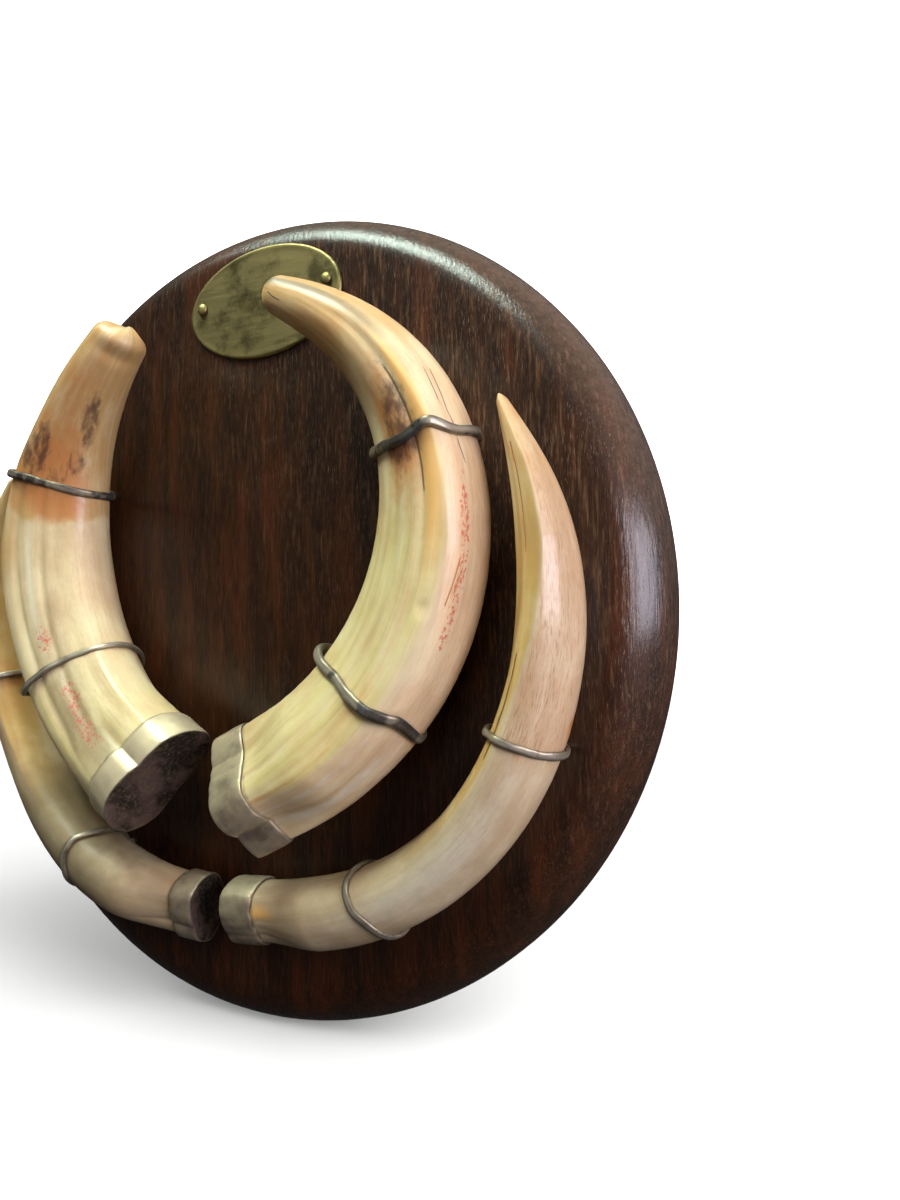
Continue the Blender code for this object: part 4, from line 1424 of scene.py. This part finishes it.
TUSKS = (
    TuskBuild(
        "tusk_upper_right", 1,
        (Station(17, -63, 26.5, 21.5, 15, 10), Station(44.5, -48, 24, 20, 16.5, 15),
         Station(70.2, -21.7, 19.5, 20, 17, 17), Station(82.5, 8, 17.5, 18.5, 17, 17),
         Station(81.5, 49, 18, 16, 15.5, 16), Station(62.5, 82, 23, 11.5, 13.5, 12),
         Station(46.5, 94, 28, 8.5, 10, 5), Station(31, 102, 31.5, 5.5, 5.5, 0)),
        UPPER_FORM, 0.025, 2.0, 0.055,
        (Band("band_upper_right_tip", ((-20, 0.634), (37, 0.632), (49, 0.639), (60, 0.645), (73, 0.639), (89, 0.634),
                                       (122, 0.642), (163, 0.652), (200, 0.65)),
              oxide=((-10, 0.3), (8, 0.35), (22, 0.1), (56, 0.0), (66, 0.8), (105, 0.85), (130, 0.4), (180, 0.2))),
         Band("band_upper_right_root", ((-15, 0.266), (0, 0.267), (22, 0.275), (40, 0.281), (48, 0.276), (59, 0.27),
                                        (73, 0.266), (119, 0.268), (140, 0.262), (163, 0.264), (200, 0.27)),
              stand=((100, 0.0), (135, 0.6), (170, 2.4), (215, 2.4), (250, 0.5)),
              oxide=((-10, 0.2), (4, 0.3), (10, 0.95), (35, 0.95), (43, 0.1), (50, 0.8), (66, 0.85), (74, 0.0),
                     (112, 0.1), (120, 0.8), (130, 0.1), (180, 0.2)))),
        UPPER_IVORY, "upper_tusk",
        grooves=(
            Groove(((0.0, 76), (0.4, 72), (0.554, 70), (0.68, 72), (0.78, 76), (0.9, 82)), 6.0, 1.0,
                   ((0.0, 0.15), (0.35, 0.3), (0.5, 0.7), (0.66, 1.0), (0.8, 0.8), (0.93, 0.0))),
            Groove(((0.0, 101), (0.5, 110), (1.0, 112)), 7.0, 0.5, ((0.0, 0.9), (0.4, 0.7), (0.6, 0.2), (0.7, 0.0))),
            Groove(((0.0, 138), (1.0, 138)), 9.0, 0.4, ((0.0, 0.8), (0.5, 0.5), (0.7, 0.0))),
            Groove(((0.6, 92), (1.0, 96)), 12.0, -0.8, ((0.6, 0.0), (0.72, 0.8), (0.9, 0.8), (1.0, 0.0)))),
        dents=(Dent(0.413, 58, 2.2, 5, 0.5), Dent(0.25, 205, 40, 40, -0.8)),
        root_shape=((-90, 11), (-65, 11.5), (-40, 13.5), (-20, 17), (-2, 20), (11, 16.4), (27, 13), (38, 13.8),
                    (49, 14.6), (65, 14.9), (78, 14.5), (100, 12.3), (127, 11.1), (150, 12.2), (164, 15.7),
                    (177, 20), (195, 20.5), (215, 17), (240, 12.5), (270, 11)), root_reach=0.16,
        # The upper right cap: painted shade at its fold and lower facet, a little painted light elsewhere.
        cap_light_and_shade=((-40, -0.1), (5, -0.1), (12, -0.2), (20, -0.45), (28, -0.2), (36, 0.05), (60, 0.15), (180, 0.15)),
        patches=(
            Patch(Paint.BRUISE, 0.67, 92, 15, 17, 1.15, lean=-8), Patch(Paint.BRUISE, 0.625, 100, 7, 20, 0.8),
            Patch(Paint.BRUISE, 0.655, 74, 16, 7, 0.8),
            # The orange strips beside the ridge are the ivory's own colour, painted lighter as painted light where
            # the facet turns from the lamps.
            Patch(Paint.STAIN, 0.64, 98, 26, 34, 0.95), Patch(Paint.ORANGE, 0.585, 61, 34, 9, 1.0),
            Patch(Paint.STAIN, 0.86, 100, 22, 30, 0.4),
            Patch(Paint.ORANGE, 0.74, 66, 18, 6, 0.6), Patch(Paint.PALE, 0.53, 98, 20, 9, 0.9),
            Patch(Paint.PALE, 0.13, 47, 40, 4, 0.8), Patch(Paint.PALE, 0.2, 18, 45, 8, 1.0),
            Patch(Paint.YELLOW, 0.16, 87, 34, 7, 0.8), Patch(Paint.STAIN, 0.12, 66, 36, 4, 0.55),
            Patch(Paint.STAIN, 0.08, 30, 26, 5, 0.35), Patch(Paint.TAN, 0.3, 73, 30, 4, 0.5),
            Patch(Paint.PALE, 0.86, 58, 20, 8, 0.7), Patch(Paint.RED, 0.56, 30, 9, 7, 0.85),
            Patch(Paint.RED, 0.526, 33, 5, 4, 1.0), Patch(Paint.RED, 0.49, 27, 12, 7, 0.9),
            Patch(Paint.RED, 0.45, 30, 15, 7, 0.9), Patch(Paint.RED, 0.385, 28, 8, 8, 0.8),
            # The dull patches at the tip and the root are painted shade.
            Patch(Paint.PINK, 0.36, 5, 50, 40, 0.3), Patch(Paint.PAINTED_SHADE, 0.97, 60, 60, 13, 0.95),
            Patch(Paint.PAINTED_SHADE, 0.06, 20, 40, 14, 0.3)),
        lines=(Line(Mark.CRACK, ((0.719, 32), (0.672, 36))),
               Line(Mark.CRACK, ((0.717, 22), (0.659, 28), (0.639, 24))),
               Line(Mark.CRACK, ((0.622, 26), (0.607, 24), (0.596, 22))),
               Line(Mark.CRACK, ((0.975, 97), (0.965, 103), (0.95, 105)), 0.9),
               Line(Mark.SCRATCH, ((0.48, 34), (0.452, 37), (0.425, 40)), 1.0),
               Line(Mark.SCRATCH, ((0.47, 29), (0.44, 34)), 0.8),
               Line(Mark.SEAM, ((0.56, 70), (0.6, 71), (0.68, 73), (0.74, 76)), 0.8)),
        yellow_side=((0.0, 0.65), (0.3, 0.75), (0.5, 0.8), (0.6, 0.5), (0.68, 0.3), (1.0, 0.2)),
        pink_side=((0.0, 0.2), (0.15, 0.25), (0.33, 0.6), (0.6, 0.75), (0.8, 0.5), (0.9, 0.3), (1.0, 0.2)),
        tan_end=((0.66, 0.2), (0.75, 0.4), (0.85, 0.75), (0.93, 1.0)), seed=11),
    TuskBuild(
        "tusk_upper_left", -1,
        (Station(-16.5, -60.5, 26.5, 21.5, 15, 10), Station(-37, -48, 24, 20, 16.5, 15),
         Station(-64, -23, 19.5, 20.5, 17, 17), Station(-79.5, 8.5, 17.5, 20.5, 17, 17),
         Station(-80.5, 44.5, 18, 18, 15.5, 16), Station(-66.5, 72, 22.5, 13, 13.5, 12),
         Station(-51.5, 87, 27, 10.5, 11.5, 5), Station(-34, 101.5, 30, 9, 9, 0)),
        UPPER_FORM, 0.03, 2.8, 0.057,
        (Band("band_upper_left_tip", ((42, 0.672), (84, 0.677), (178, 0.674), (227, 0.664)),
              oxide=((42, 0.1), (60, 0.2), (75, 0.55), (115, 0.5), (132, 0.1), (148, 0.1), (165, 0.4), (230, 0.5)),
              share=0.9),
         Band("band_upper_left_root", ((39, 0.31), (50, 0.297), (109, 0.298), (138, 0.291), (159, 0.281),
                                       (204, 0.28)), share=0.77)),
        UPPER_IVORY, "upper_tusk",
        grooves=(
            Groove(((0.0, 76), (0.3, 76), (0.52, 71), (0.8, 76)), 6.0, 0.9,
                   ((0.0, 0.6), (0.2, 1.0), (0.6, 1.0), (0.72, 0.0))),
            Groove(((0.0, 101), (0.27, 108), (0.5, 110), (1.0, 112)), 7.0, 0.9,
                   ((0.0, 0.9), (0.6, 1.0), (0.72, 0.0))),
            Groove(((0.0, 146), (0.27, 143), (0.5, 135), (1.0, 135)), 9.0, 0.45,
                   ((0.0, 0.3), (0.3, 1.0), (0.6, 0.8), (0.72, 0.0))),
            Groove(((0.0, 155), (0.3, 151)), 8.0, -1.0, ((0.0, 1.0), (0.16, 1.0), (0.3, 0.0)))),
        dents=(Dent(0.958, 150, 2.0, 45, 0.8), Dent(0.985, 150, 2.5, 40, -0.9)),
        root_shape=((-90, 6), (-70, 5.9), (-45, 7), (-24, 9), (-7, 13.5), (10, 17), (20, 19.2), (45, 20.6),
                    (69, 20.2), (79, 19.4), (95, 17.6), (120, 15.2), (142, 17.6), (155, 19.6), (170, 20.5),
                    (186, 21), (203, 21.1), (212, 19.7), (223, 16.9), (239, 9.8), (255, 7), (270, 6)),
        # The upper left cap: painted light on its side, which turns away from the lamps.
        cap_light_and_shade=((0, 0.6), (50, 0.9), (100, 0.8), (180, 0.75)), root_reach=0.2,
        end_tilt=((-90, 0), (0, 1), (70, 2.8), (120, 1.5), (165, 0), (270, 0)),
        tip_slant=((-90, -1), (0, -1), (60, 0), (150, 2.5), (200, 2.5), (270, -1)),
        patches=(
            Patch(Paint.BRUISE, 0.725, 82, 11, 24, 1.1), Patch(Paint.BRUISE, 0.76, 95, 10, 10, 0.9),
            Patch(Paint.BRUISE, 0.85, 155, 10, 17, 1.1), Patch(Paint.BRUISE, 0.79, 162, 9, 13, 0.85),
            Patch(Paint.BRUISE, 0.73, 150, 6, 22, 0.75), Patch(Paint.BRUISE, 0.69, 128, 6, 20, 0.7),
            Patch(Paint.STAIN, 0.86, 110, 42, 70, 0.55), Patch(Paint.STAIN, 0.7, 120, 16, 60, 0.8),
            Patch(Paint.STAIN, 0.63, 135, 8, 40, 0.9), Patch(Paint.STAIN, 0.6, 40, 45, 22, 0.5),
            Patch(Paint.PALE, 0.45, 92, 50, 10, 0.8), Patch(Paint.PALE, 0.3, 125, 60, 16, 0.5),
            # The dull patches here are painted shade.
            Patch(Paint.PAINTED_SHADE, 0.42, 135, 40, 50, 0.1), Patch(Paint.PAINTED_SHADE, 0.12, 100, 70, 34, 0.72),
            # The pink patch on the knob at share 0.985 is a painted highlight.
            Patch(Paint.PINK, 0.985, 140, 5, 30, 1.0), Patch(Paint.RED, 0.355, 99, 11, 18, 1.0),
            Patch(Paint.RED, 0.225, 106, 11, 20, 1.0), Patch(Paint.RED, 0.13, 100, 12, 20, 1.0),
            Patch(Paint.PINK, 0.45, 170, 60, 40, 0.6), Patch(Paint.TAN, 0.55, 45, 12, 26, 0.9),
            Patch(Paint.PINK, 0.3, 120, 60, 16, 0.5)),
        yellow_side=((0.0, 0.7), (0.3, 0.55), (0.6, 0.3), (0.7, 0.2), (1.0, 0.2)),
        pink_side=((0.0, 0.4), (1.0, 0.4)), tan_end=((0.6, 0.0), (0.62, 0.9), (1.0, 1.0)), seed=23),
    TuskBuild(
        "tusk_lower_right", 1,
        (Station(6.5, -104.5, 14, 11.5, 11.5, 10), Station(42, -100.5, 13.5, 11.5, 12, 12),
         Station(81.6, -82.8, 13, 11.3, 12.5, 12), Station(103.2, -60.3, 12.8, 11, 12.5, 12),
         Station(120.7, 2.5, 12.8, 9.5, 12, 12), Station(116.4, 35, 16, 6, 8, 8),
         Station(108, 59.5, 19, 1.2, 1.6, 0)),
        LOWER_FORM, 0.012, 1.6, 0.048,
        (Band("band_lower_right_tip", ((-27, 0.556), (50, 0.551), (113, 0.551), (184, 0.546)),
              stand=((110, 0.0), (150, 0.8), (190, 1.0), (240, 0.3)), share=0.78),
         Band("band_lower_right_root", ((1, 0.25), (53, 0.246), (76, 0.241), (92, 0.232), (125, 0.228), (146, 0.231),
                                        (183, 0.236)), share=0.74)),
        LOWER_IVORY, "lower_tusk",
        grooves=(Groove(((0.45, 118), (0.56, 114), (0.63, 111), (0.68, 108)), 5.0, 0.9,
                        ((0.45, 0.0), (0.52, 0.9), (0.6, 1.0), (0.67, 0.0))),
                 Groove(((0.78, 104), (0.84, 102), (0.88, 98), (0.95, 96)), 6.0, 0.45,
                        ((0.74, 0.0), (0.8, 1.0), (0.93, 1.0), (0.97, 0.0)))),
        root_shape=((-90, 9.5), (-45, 9.7), (-10, 9.6), (14, 8.7), (41, 6.9), (65, 6.8), (89, 7.4), (117, 9),
                    (133, 10.2), (165, 10.4), (202, 11.4), (230, 10.5), (270, 9.5)), root_reach=0.15,
        # The lower right cap: painted shade all round.
        cap_light_and_shade=((0, -0.12), (180, -0.12)),
        patches=(
            Patch(Paint.STAIN, 0.584, -10, 4, 12, 1.3), Patch(Paint.BRUISE, 0.584, -12, 2.5, 8, 0.8),
            Patch(Paint.ORANGE, 0.058, 106, 9, 21, 0.8), Patch(Paint.STAIN, 0.085, 60, 14, 14, 0.4),
            Patch(Paint.PALE, 0.35, 80, 60, 40, 0.8), Patch(Paint.GRIME, 0.13, 140, 14, 16, 0.45),
            Patch(Paint.STAIN, 0.9, 60, 25, 30, 0.35), Patch(Paint.STAIN, 0.54, 70, 6, 12, 0.4),
            Patch(Paint.BRUISE, 0.572, 113, 4, 6, 1.0)),
        lines=(Line(Mark.SEAM, ((0.66, 108), (0.615, 112), (0.58, 114), (0.52, 116)), 1.0),
               Line(Mark.SCRATCH, ((0.93, 97), (0.88, 98), (0.84, 101), (0.79, 103)), 1.0)),
        yellow_side=((0.0, 0.2), (0.3, 0.5), (0.5, 0.9), (1.0, 1.0)),
        pink_side=((0.0, 0.1), (0.4, 0.2), (0.535, 0.3), (0.56, 0.9), (0.85, 0.9), (1.0, 0.5)),
        tan_end=((0.8, 0.0), (0.9, 0.4), (1.0, 0.9)),
        # The dull root is painted shade, partly grime.
        shade_root=((0.0, 0.3), (0.2, 0.32), (0.4, 0.3), (0.54, 0.1), (0.56, 0.0)), rings=270, seed=37),
    TuskBuild(
        "tusk_lower_left", -1,
        (Station(-11, -105, 13, 11.5, 10.5, 10), Station(-38.5, -101, 15, 11.5, 12, 12),
         Station(-73.5, -84, 14.5, 11, 12.5, 12), Station(-96, -59, 13, 10, 12.5, 12),
         Station(-117, 2.5, 12.8, 9, 12, 12), Station(-115.5, 35, 16, 5.5, 8, 8),
         Station(-107.5, 58, 19, 1.2, 1.6, 0)),
        LOWER_FORM, 0.012, 1.6, 0.037,
        (Band("band_lower_left_tip", ((3, 0.615), (183, 0.62)), share=0.8),
         Band("band_lower_left_root", ((21, 0.238), (73, 0.238), (95, 0.251), (124, 0.256), (156, 0.243),
                                       (183, 0.238)), share=0.75)),
        SHADED_IVORY, "lower_tusk",
        grooves=(Groove(((0.45, 118), (0.68, 108)), 5.0, 0.6, ((0.45, 0.0), (0.52, 0.9), (0.6, 1.0), (0.67, 0.0))),),
        root_shape=((-90, 9.5), (-45, 11), (-20, 12), (9, 10.3), (46, 6.9), (75, 7.2), (99, 8.1), (120, 9.7),
                    (142, 10), (170, 10.4), (200, 11), (230, 10), (270, 9.5)), root_reach=0.15,
        # The lower left cap: a little painted light all round.
        cap_light_and_shade=((0, 0.08), (180, 0.08)),
        patches=(Patch(Paint.STAIN, 0.6, 120, 20, 30, 0.6), Patch(Paint.YELLOW, 0.4, 110, 60, 40, 0.6),
                 Patch(Paint.GRIME, 0.1, 120, 25, 50, 0.3)),
        yellow_side=((0.0, 0.3), (0.5, 0.7), (1.0, 0.9)), pink_side=((0.0, 0.2), (0.5, 0.5), (1.0, 0.5)),
        # The dull root is painted shade, partly grime.
        shade_root=((0.0, 0.1), (0.1, 0.3), (0.2, 0.85), (0.35, 0.8), (0.5, 0.2), (0.6, 0.0)),
        rings=270, seed=53),
)


# ---------------------------------------------------------------------------------------- board and plate

@dataclass(frozen=True)
class Board:
    """The turned board. Sizes in millimetres."""

    radius: float = 150.0
    thickness: float = 25.0
    round_radial: float = 17.0           # how far in the edge's curve starts, so softly that the eye sees 13
    round_depth: float = 20.0
    round_power: float = 2.3
    back_chamfer: float = 1.0
    round_steps: int = 28
    segments: int = 300

    def profile(self) -> Array:
        """The half section, from the middle of the front to the middle of the back.

        Returns:
            Rows of radius, y and 0, in mm.
        """
        flat = self.radius - self.round_radial
        # The ring half a millimetre inside the curve keeps the face flat.
        rows = [(0.0, -self.thickness, 0.0), (flat - 0.5, -self.thickness, 0.0)]
        for way in np.sin(np.linspace(0, math.pi / 2, self.round_steps + 1)):
            fall = 1 - math.sqrt(1 - min(way, 1.0) ** self.round_power)
            rows.append((flat + self.round_radial * way, -self.thickness + self.round_depth * fall, 0.0))
        return np.array([*rows, (self.radius, -self.back_chamfer, 0.0),
                         (self.radius - self.back_chamfer, 0.0, 0.0), (0.0, 0.0, 0.0)])

    def build(self, lathe: Tree) -> None:
        """Turns the board on the lathe tree and fastens it.

        Args:
            lathe: The tree that turns a profile.
        """
        rows = self.profile()
        line = polyline("board_profile", rows * MM)
        board = apply_tree(line, lathe, "turned_board", rows=len(rows), segments=self.segments, count=1,
                           spacing=0.0, centre=(0.0, 0.0, 0.0), material=StainedBoardWood().build())
        shade(board.data, 40)
        fasten(board, "board_wood", "board")


@dataclass(frozen=True)
class NamePlate:
    """The oval brass plate, left bare, and its two pins. Sizes in millimetres."""

    centre: tuple[float, float] = (5.0, 115.0)
    size: tuple[float, float] = (70.0, 42.0)
    thickness: float = 1.2
    bevel: float = 0.9
    dish: float = 0.1                    # how far the face lies behind the bevel's crest
    gap: float = 0.3
    segments: int = 160
    pin_spacing: float = 58.0
    pin_rise: float = 2.5
    pin_radius: float = 2.2
    pin_height: float = 1.2
    shank_radius: float = 0.75

    def build_plate(self, brass: Material) -> Item:
        """Makes the plate: a rubbed bevel round a slightly uneven face.

        Args:
            brass: The material.

        Returns:
            The plate.
        """
        back = BOARD_FACE - self.gap
        front = back - self.thickness
        face = front + self.dish
        # Each ring: how far in from the plate's edge, its y, and how rubbed it is.
        rows = [(0.0, back, 0.0), (0.0, front + self.bevel * 0.5, 0.1), (self.bevel * 0.35, front + 0.12, 0.4),
                (self.bevel, front, 0.3), (self.bevel * 1.8, face, 0.05)]
        rows += [(self.bevel * 1.8 + inset, face, 0.0) for inset in (1.5, 5.0, 10.0, 15.0)]
        sides, count = self.segments, len(rows)
        around = on_circle(np.linspace(0.0, 360.0, sides, endpoint=False))
        points = []
        for inset, y, _ in rows:
            flat = self.centre + (np.array(self.size) / 2 - inset) * around
            ring = np.column_stack([flat[:, 0], np.full(sides, y), flat[:, 1]])
            if inset > self.bevel:
                ring[:, 1] += 0.08 * ripple(ring, 71, 24.0)
            points.append(ring)
        middles = [(self.centre[0], y, self.centre[1]) for y in (face, back)]
        faces = ring_faces(count, sides)
        for i in range(sides):
            j = (i + 1) % sides
            faces += [((count - 1) * sides + i, (count - 1) * sides + j, count * sides), (j, i, count * sides + 1)]
        plate = mesh_object("oval_brass_plate", np.concatenate([*points, middles]) * MM, faces, 50)
        store(plate, "wear_and_sheen", np.append(np.repeat([shine for *_, shine in rows], sides), [0.0, 0.0]))
        plate.data.materials.append(brass)
        return plate

    def build_pins(self, lathe: Tree, brass: Material) -> Item:
        """Turns one domed nail and sets it at both ends of the plate.

        Args:
            lathe: The tree that turns a profile and copies it.
            brass: The material.

        Returns:
            Both pins, as one piece.
        """
        seat = BOARD_FACE - 2 * self.gap - self.thickness
        dome = [(self.pin_radius * math.cos(math.radians(turn)),
                 seat - self.pin_height * math.sin(math.radians(turn)), 0.0) for turn in range(80, -1, -10)]
        profile = [(0.0, seat - self.pin_height, 0.0), *dome, (self.shank_radius, seat, 0.0),
                   (self.shank_radius, BOARD_FACE + 5.0, 0.0), (0.0, BOARD_FACE + 7.0, 0.0)]
        line = polyline("pin_profile", np.array(profile) * MM)
        centre = ((self.centre[0] - self.pin_spacing / 2) * MM, 0.0, (self.centre[1] + self.pin_rise) * MM)
        pins = apply_tree(line, lathe, "domed_brass_pins", rows=len(profile), segments=40, count=2,
                          spacing=self.pin_spacing * MM, centre=centre, material=brass)
        shade(pins.data, 50)
        store(pins, "wear_and_sheen", smooth(seat * MM, (seat - self.pin_height) * MM, points_of(pins)[:, 1]) * 0.8)
        return pins

    def build(self, lathe: Tree) -> None:
        """Builds the plate and its pins and fastens them.

        Args:
            lathe: The tree that turns a profile.
        """
        brass = Brass().build()
        fasten(self.build_plate(brass), "plate_brass", "name_plate")
        fasten(self.build_pins(lathe, brass), "plate_brass", "plate_pin_left", "plate_pin_right")


# ------------------------------------------------------------------------------------------------- studio

@dataclass(frozen=True)
class Camera:
    """The photograph's viewpoint, found from the board's rim and the plate's oval. Angles in degrees."""

    azimuth: float = 37.18
    elevation: float = -3.215
    roll: float = -0.14
    yaw: float = 10.145
    pitch: float = 0.815
    distance: float = 346.66 * MM
    lens: float = 26.01                  # mm on a sensor 36 mm along the long side

    @staticmethod
    def swing(one: Vector, other: Vector, degrees: float) -> tuple[Vector, Vector]:
        """Turns two square directions in their own plane, the first towards the second."""
        cos, sin = math.cos(math.radians(degrees)), math.sin(math.radians(degrees))
        return one * cos + other * sin, other * cos - one * sin

    def build(self) -> None:
        """Places the camera."""
        az, el = math.radians(self.azimuth), math.radians(self.elevation)
        place = Vector((math.sin(az) * math.cos(el), -math.cos(az) * math.cos(el), math.sin(el))) * self.distance
        look = -place.normalized()
        right = look.cross(Vector((0, 0, 1))).normalized()
        up = right.cross(look)
        look, right = self.swing(look, right, self.yaw)
        look, up = self.swing(look, up, self.pitch)
        right, up = self.swing(right, up, self.roll)
        data = bpy.data.cameras.new("photo_camera")
        data.lens, data.sensor_width, data.sensor_fit, data.clip_start = self.lens, 36.0, "AUTO", 0.01
        pose = Matrix((right, up, -look)).transposed().to_4x4()
        pose.translation = place
        camera = in_scene("photo_camera", data)
        camera.matrix_world = pose
        bpy.context.scene.camera = camera


@dataclass(frozen=True)
class Softbox:
    """A soft rectangular light. Lengths in metres, power in watts."""

    name: str
    place: tuple[float, float, float]
    aim: tuple[float, float, float]
    size: tuple[float, float]
    power: float
    tint: str = "#ffffff"
    spread: float = 180.0                # degrees
    seen: bool = True                    # whether glossy surfaces mirror it

    def build(self) -> Item:
        """Places the light, facing its aim.

        Returns:
            The light.
        """
        data = bpy.data.lights.new(self.name, "AREA")
        data.shape, data.size, data.size_y = "RECTANGLE", *self.size
        data.energy = self.power
        data.color = linear(self.tint)[:3]
        data.spread = math.radians(self.spread)
        light = in_scene(self.name, data)
        light.visible_glossy = self.seen
        light.location = self.place
        light.rotation_euler = (Vector(self.aim) - Vector(self.place)).to_track_quat("-Z", "Y").to_euler()
        return light


@dataclass(frozen=True)
class Studio:
    """A round pale floor that curves up into a pale backdrop on all sides, and soft window-like lights."""

    floor_z: float = -150.5 * MM
    floor_radius: float = 1.9
    bend_radius: float = 0.8
    height: float = 3.4
    sides: int = 120
    surface: str = "#b6b6b5"             # brightly lit, so that the shadow keeps its depth
    air: str = "#f2f4f6"
    lights: tuple[Softbox, ...] = (
        Softbox("window_right_near", (0.98, -0.47, 0.14), (0.05, 0.0, 0.0), (0.42, 0.42), 7.2, "#f1efff"),
        Softbox("window_right_far", (1.08, -0.02, 0.14), (0.05, 0.0, 0.0), (0.42, 0.42), 5.6, "#f1efff"),
        Softbox("skylight", (-0.14, -0.34, 0.78), (0.01, -0.03, 0.13), (0.46, 0.33), 1.0, "#e9fff0", 48.0),
        Softbox("room_front", (0.3, -1.0, 0.9), (0.0, 0.0, 0.05), (0.9, 0.7), 4.8, "#ffefdc", seen=False),
        Softbox("room_back", (-0.3, 1.2, 0.5), (0.0, 0.0, 0.0), (0.9, 0.7), 9.0, "#fff4e8", seen=False))
    ambient_low: float = 0.03
    ambient_high: float = 0.4

    def build(self) -> None:
        """Builds the floor, the backdrop, the lights and the surrounding light."""
        floor = self.build_floor()
        trophy = bpy.data.collections.new("trophy_only")
        for item in bpy.context.scene.objects:
            if item.type == "MESH" and item is not floor:
                trophy.objects.link(item)
        self.light_air()
        for light in self.lights:
            light.build().light_linking.receiver_collection = trophy
        self.light_paper(floor)
        bpy.context.scene.view_settings.view_transform = "Standard"

    def build_floor(self) -> Item:
        """Makes the floor and the backdrop, one sheet of pale paper.

        Returns:
            The sheet.
        """
        rows = [(self.floor_radius, 0.0)]
        rows += [(self.floor_radius + self.bend_radius * math.sin(turn), self.bend_radius * (1 - math.cos(turn)))
                 for turn in np.linspace(0, math.pi / 2, 24)[1:]]
        rows.append((self.floor_radius + self.bend_radius, self.height))
        around = on_circle(np.linspace(0.0, 360.0, self.sides, endpoint=False))
        points = np.concatenate([np.column_stack([radius * around, np.full(self.sides, self.floor_z + rise)])
                                 for radius, rise in rows])
        faces = [tuple(range(self.sides)), *(face[::-1] for face in ring_faces(len(rows), self.sides))]
        floor = mesh_object("pale_floor", points, faces)
        floor.data.materials.append(
            new_material("pale_paper_sweep", {"Roughness": 0.9, "Base Color": linear(self.surface)})[0])
        floor.visible_glossy = floor.visible_diffuse = floor.visible_shadow = False
        return floor

    def light_air(self) -> None:
        """Makes the surrounding light, stronger from the upper right."""
        world = bpy.data.worlds.new("studio_air")
        world.use_nodes = True
        air = world.node_tree
        background = air.nodes["Background"]
        background.inputs["Color"].default_value = linear(self.air)
        toward = add(air, "ShaderNodeTexCoord").node.outputs["Generated"]
        facing = add(air, VECTOR_MATH, (toward, (0.62, -0.2, 0.75)), operation="DOT_PRODUCT")
        spread = add(air, RANGE, (facing, -0.3, 1.0, self.ambient_low, self.ambient_high),
                     interpolation_type="SMOOTHSTEP")
        air.links.new(spread, background.inputs["Strength"])
        bpy.context.scene.world = world

    def light_paper(self, floor: Item) -> None:
        """Lights the floor and backdrop alone, from the right and from all round, so that they come out white.

        Args:
            floor: The floor and backdrop.
        """
        paper = bpy.data.collections.new("paper_only")
        paper.objects.link(floor)
        suns = [("paper_key", (-0.709, 0.41, -0.574), 8.6, 46.0), ("paper_sky", (0.0, 0.0, -1.0), 0.6, 170.0)]
        suns += [(f"wall_{x}_{y}", (x, y, 0.0), 8.0, 20.0) for x, y in ((0, 1), (1, 0), (0, -1), (-1, 0))]
        for name, toward, strength, spread in suns:
            data = bpy.data.lights.new(name, "SUN")
            data.energy, data.angle = strength, math.radians(spread)
            data.use_shadow = name.startswith("paper")
            sun = in_scene(name, data)
            sun.rotation_euler = Vector(toward).to_track_quat("-Z", "Y").to_euler()
            sun.light_linking.receiver_collection = paper


# --------------------------------------------------------------------------------------------------- main

def main() -> None:
    """Builds every sub-assembly in order, then the studio and the camera."""
    logging.basicConfig(level=logging.INFO, format="%(name)s %(message)s", stream=sys.stdout)
    sweep, lathe = sweep_tree(), turning_tree()
    cap_silver = Silver("tarnished_sheet_silver").build()
    wire_silver = Silver("flattened_silver_wire", metal="#94876f", tarnish="#6c5f50", violet="#5d5452",
                         bright="#d3c6b4", plate="#1a1b21", plate_violet="#3c4250", rust="#3a3b42",
                         tarnish_level=0.49, pit_level=0.64, grain_mm=5.0, pit_mm=1.4, roughness=0.39,
                         metallic=0.65).build()
    Board().build(lathe)
    NamePlate().build(lathe)
    for tusk in TUSKS:
        tusk.build(sweep, cap_silver, wire_silver)
    Studio().build()
    Camera().build()


if __name__ == "__main__":
    main()
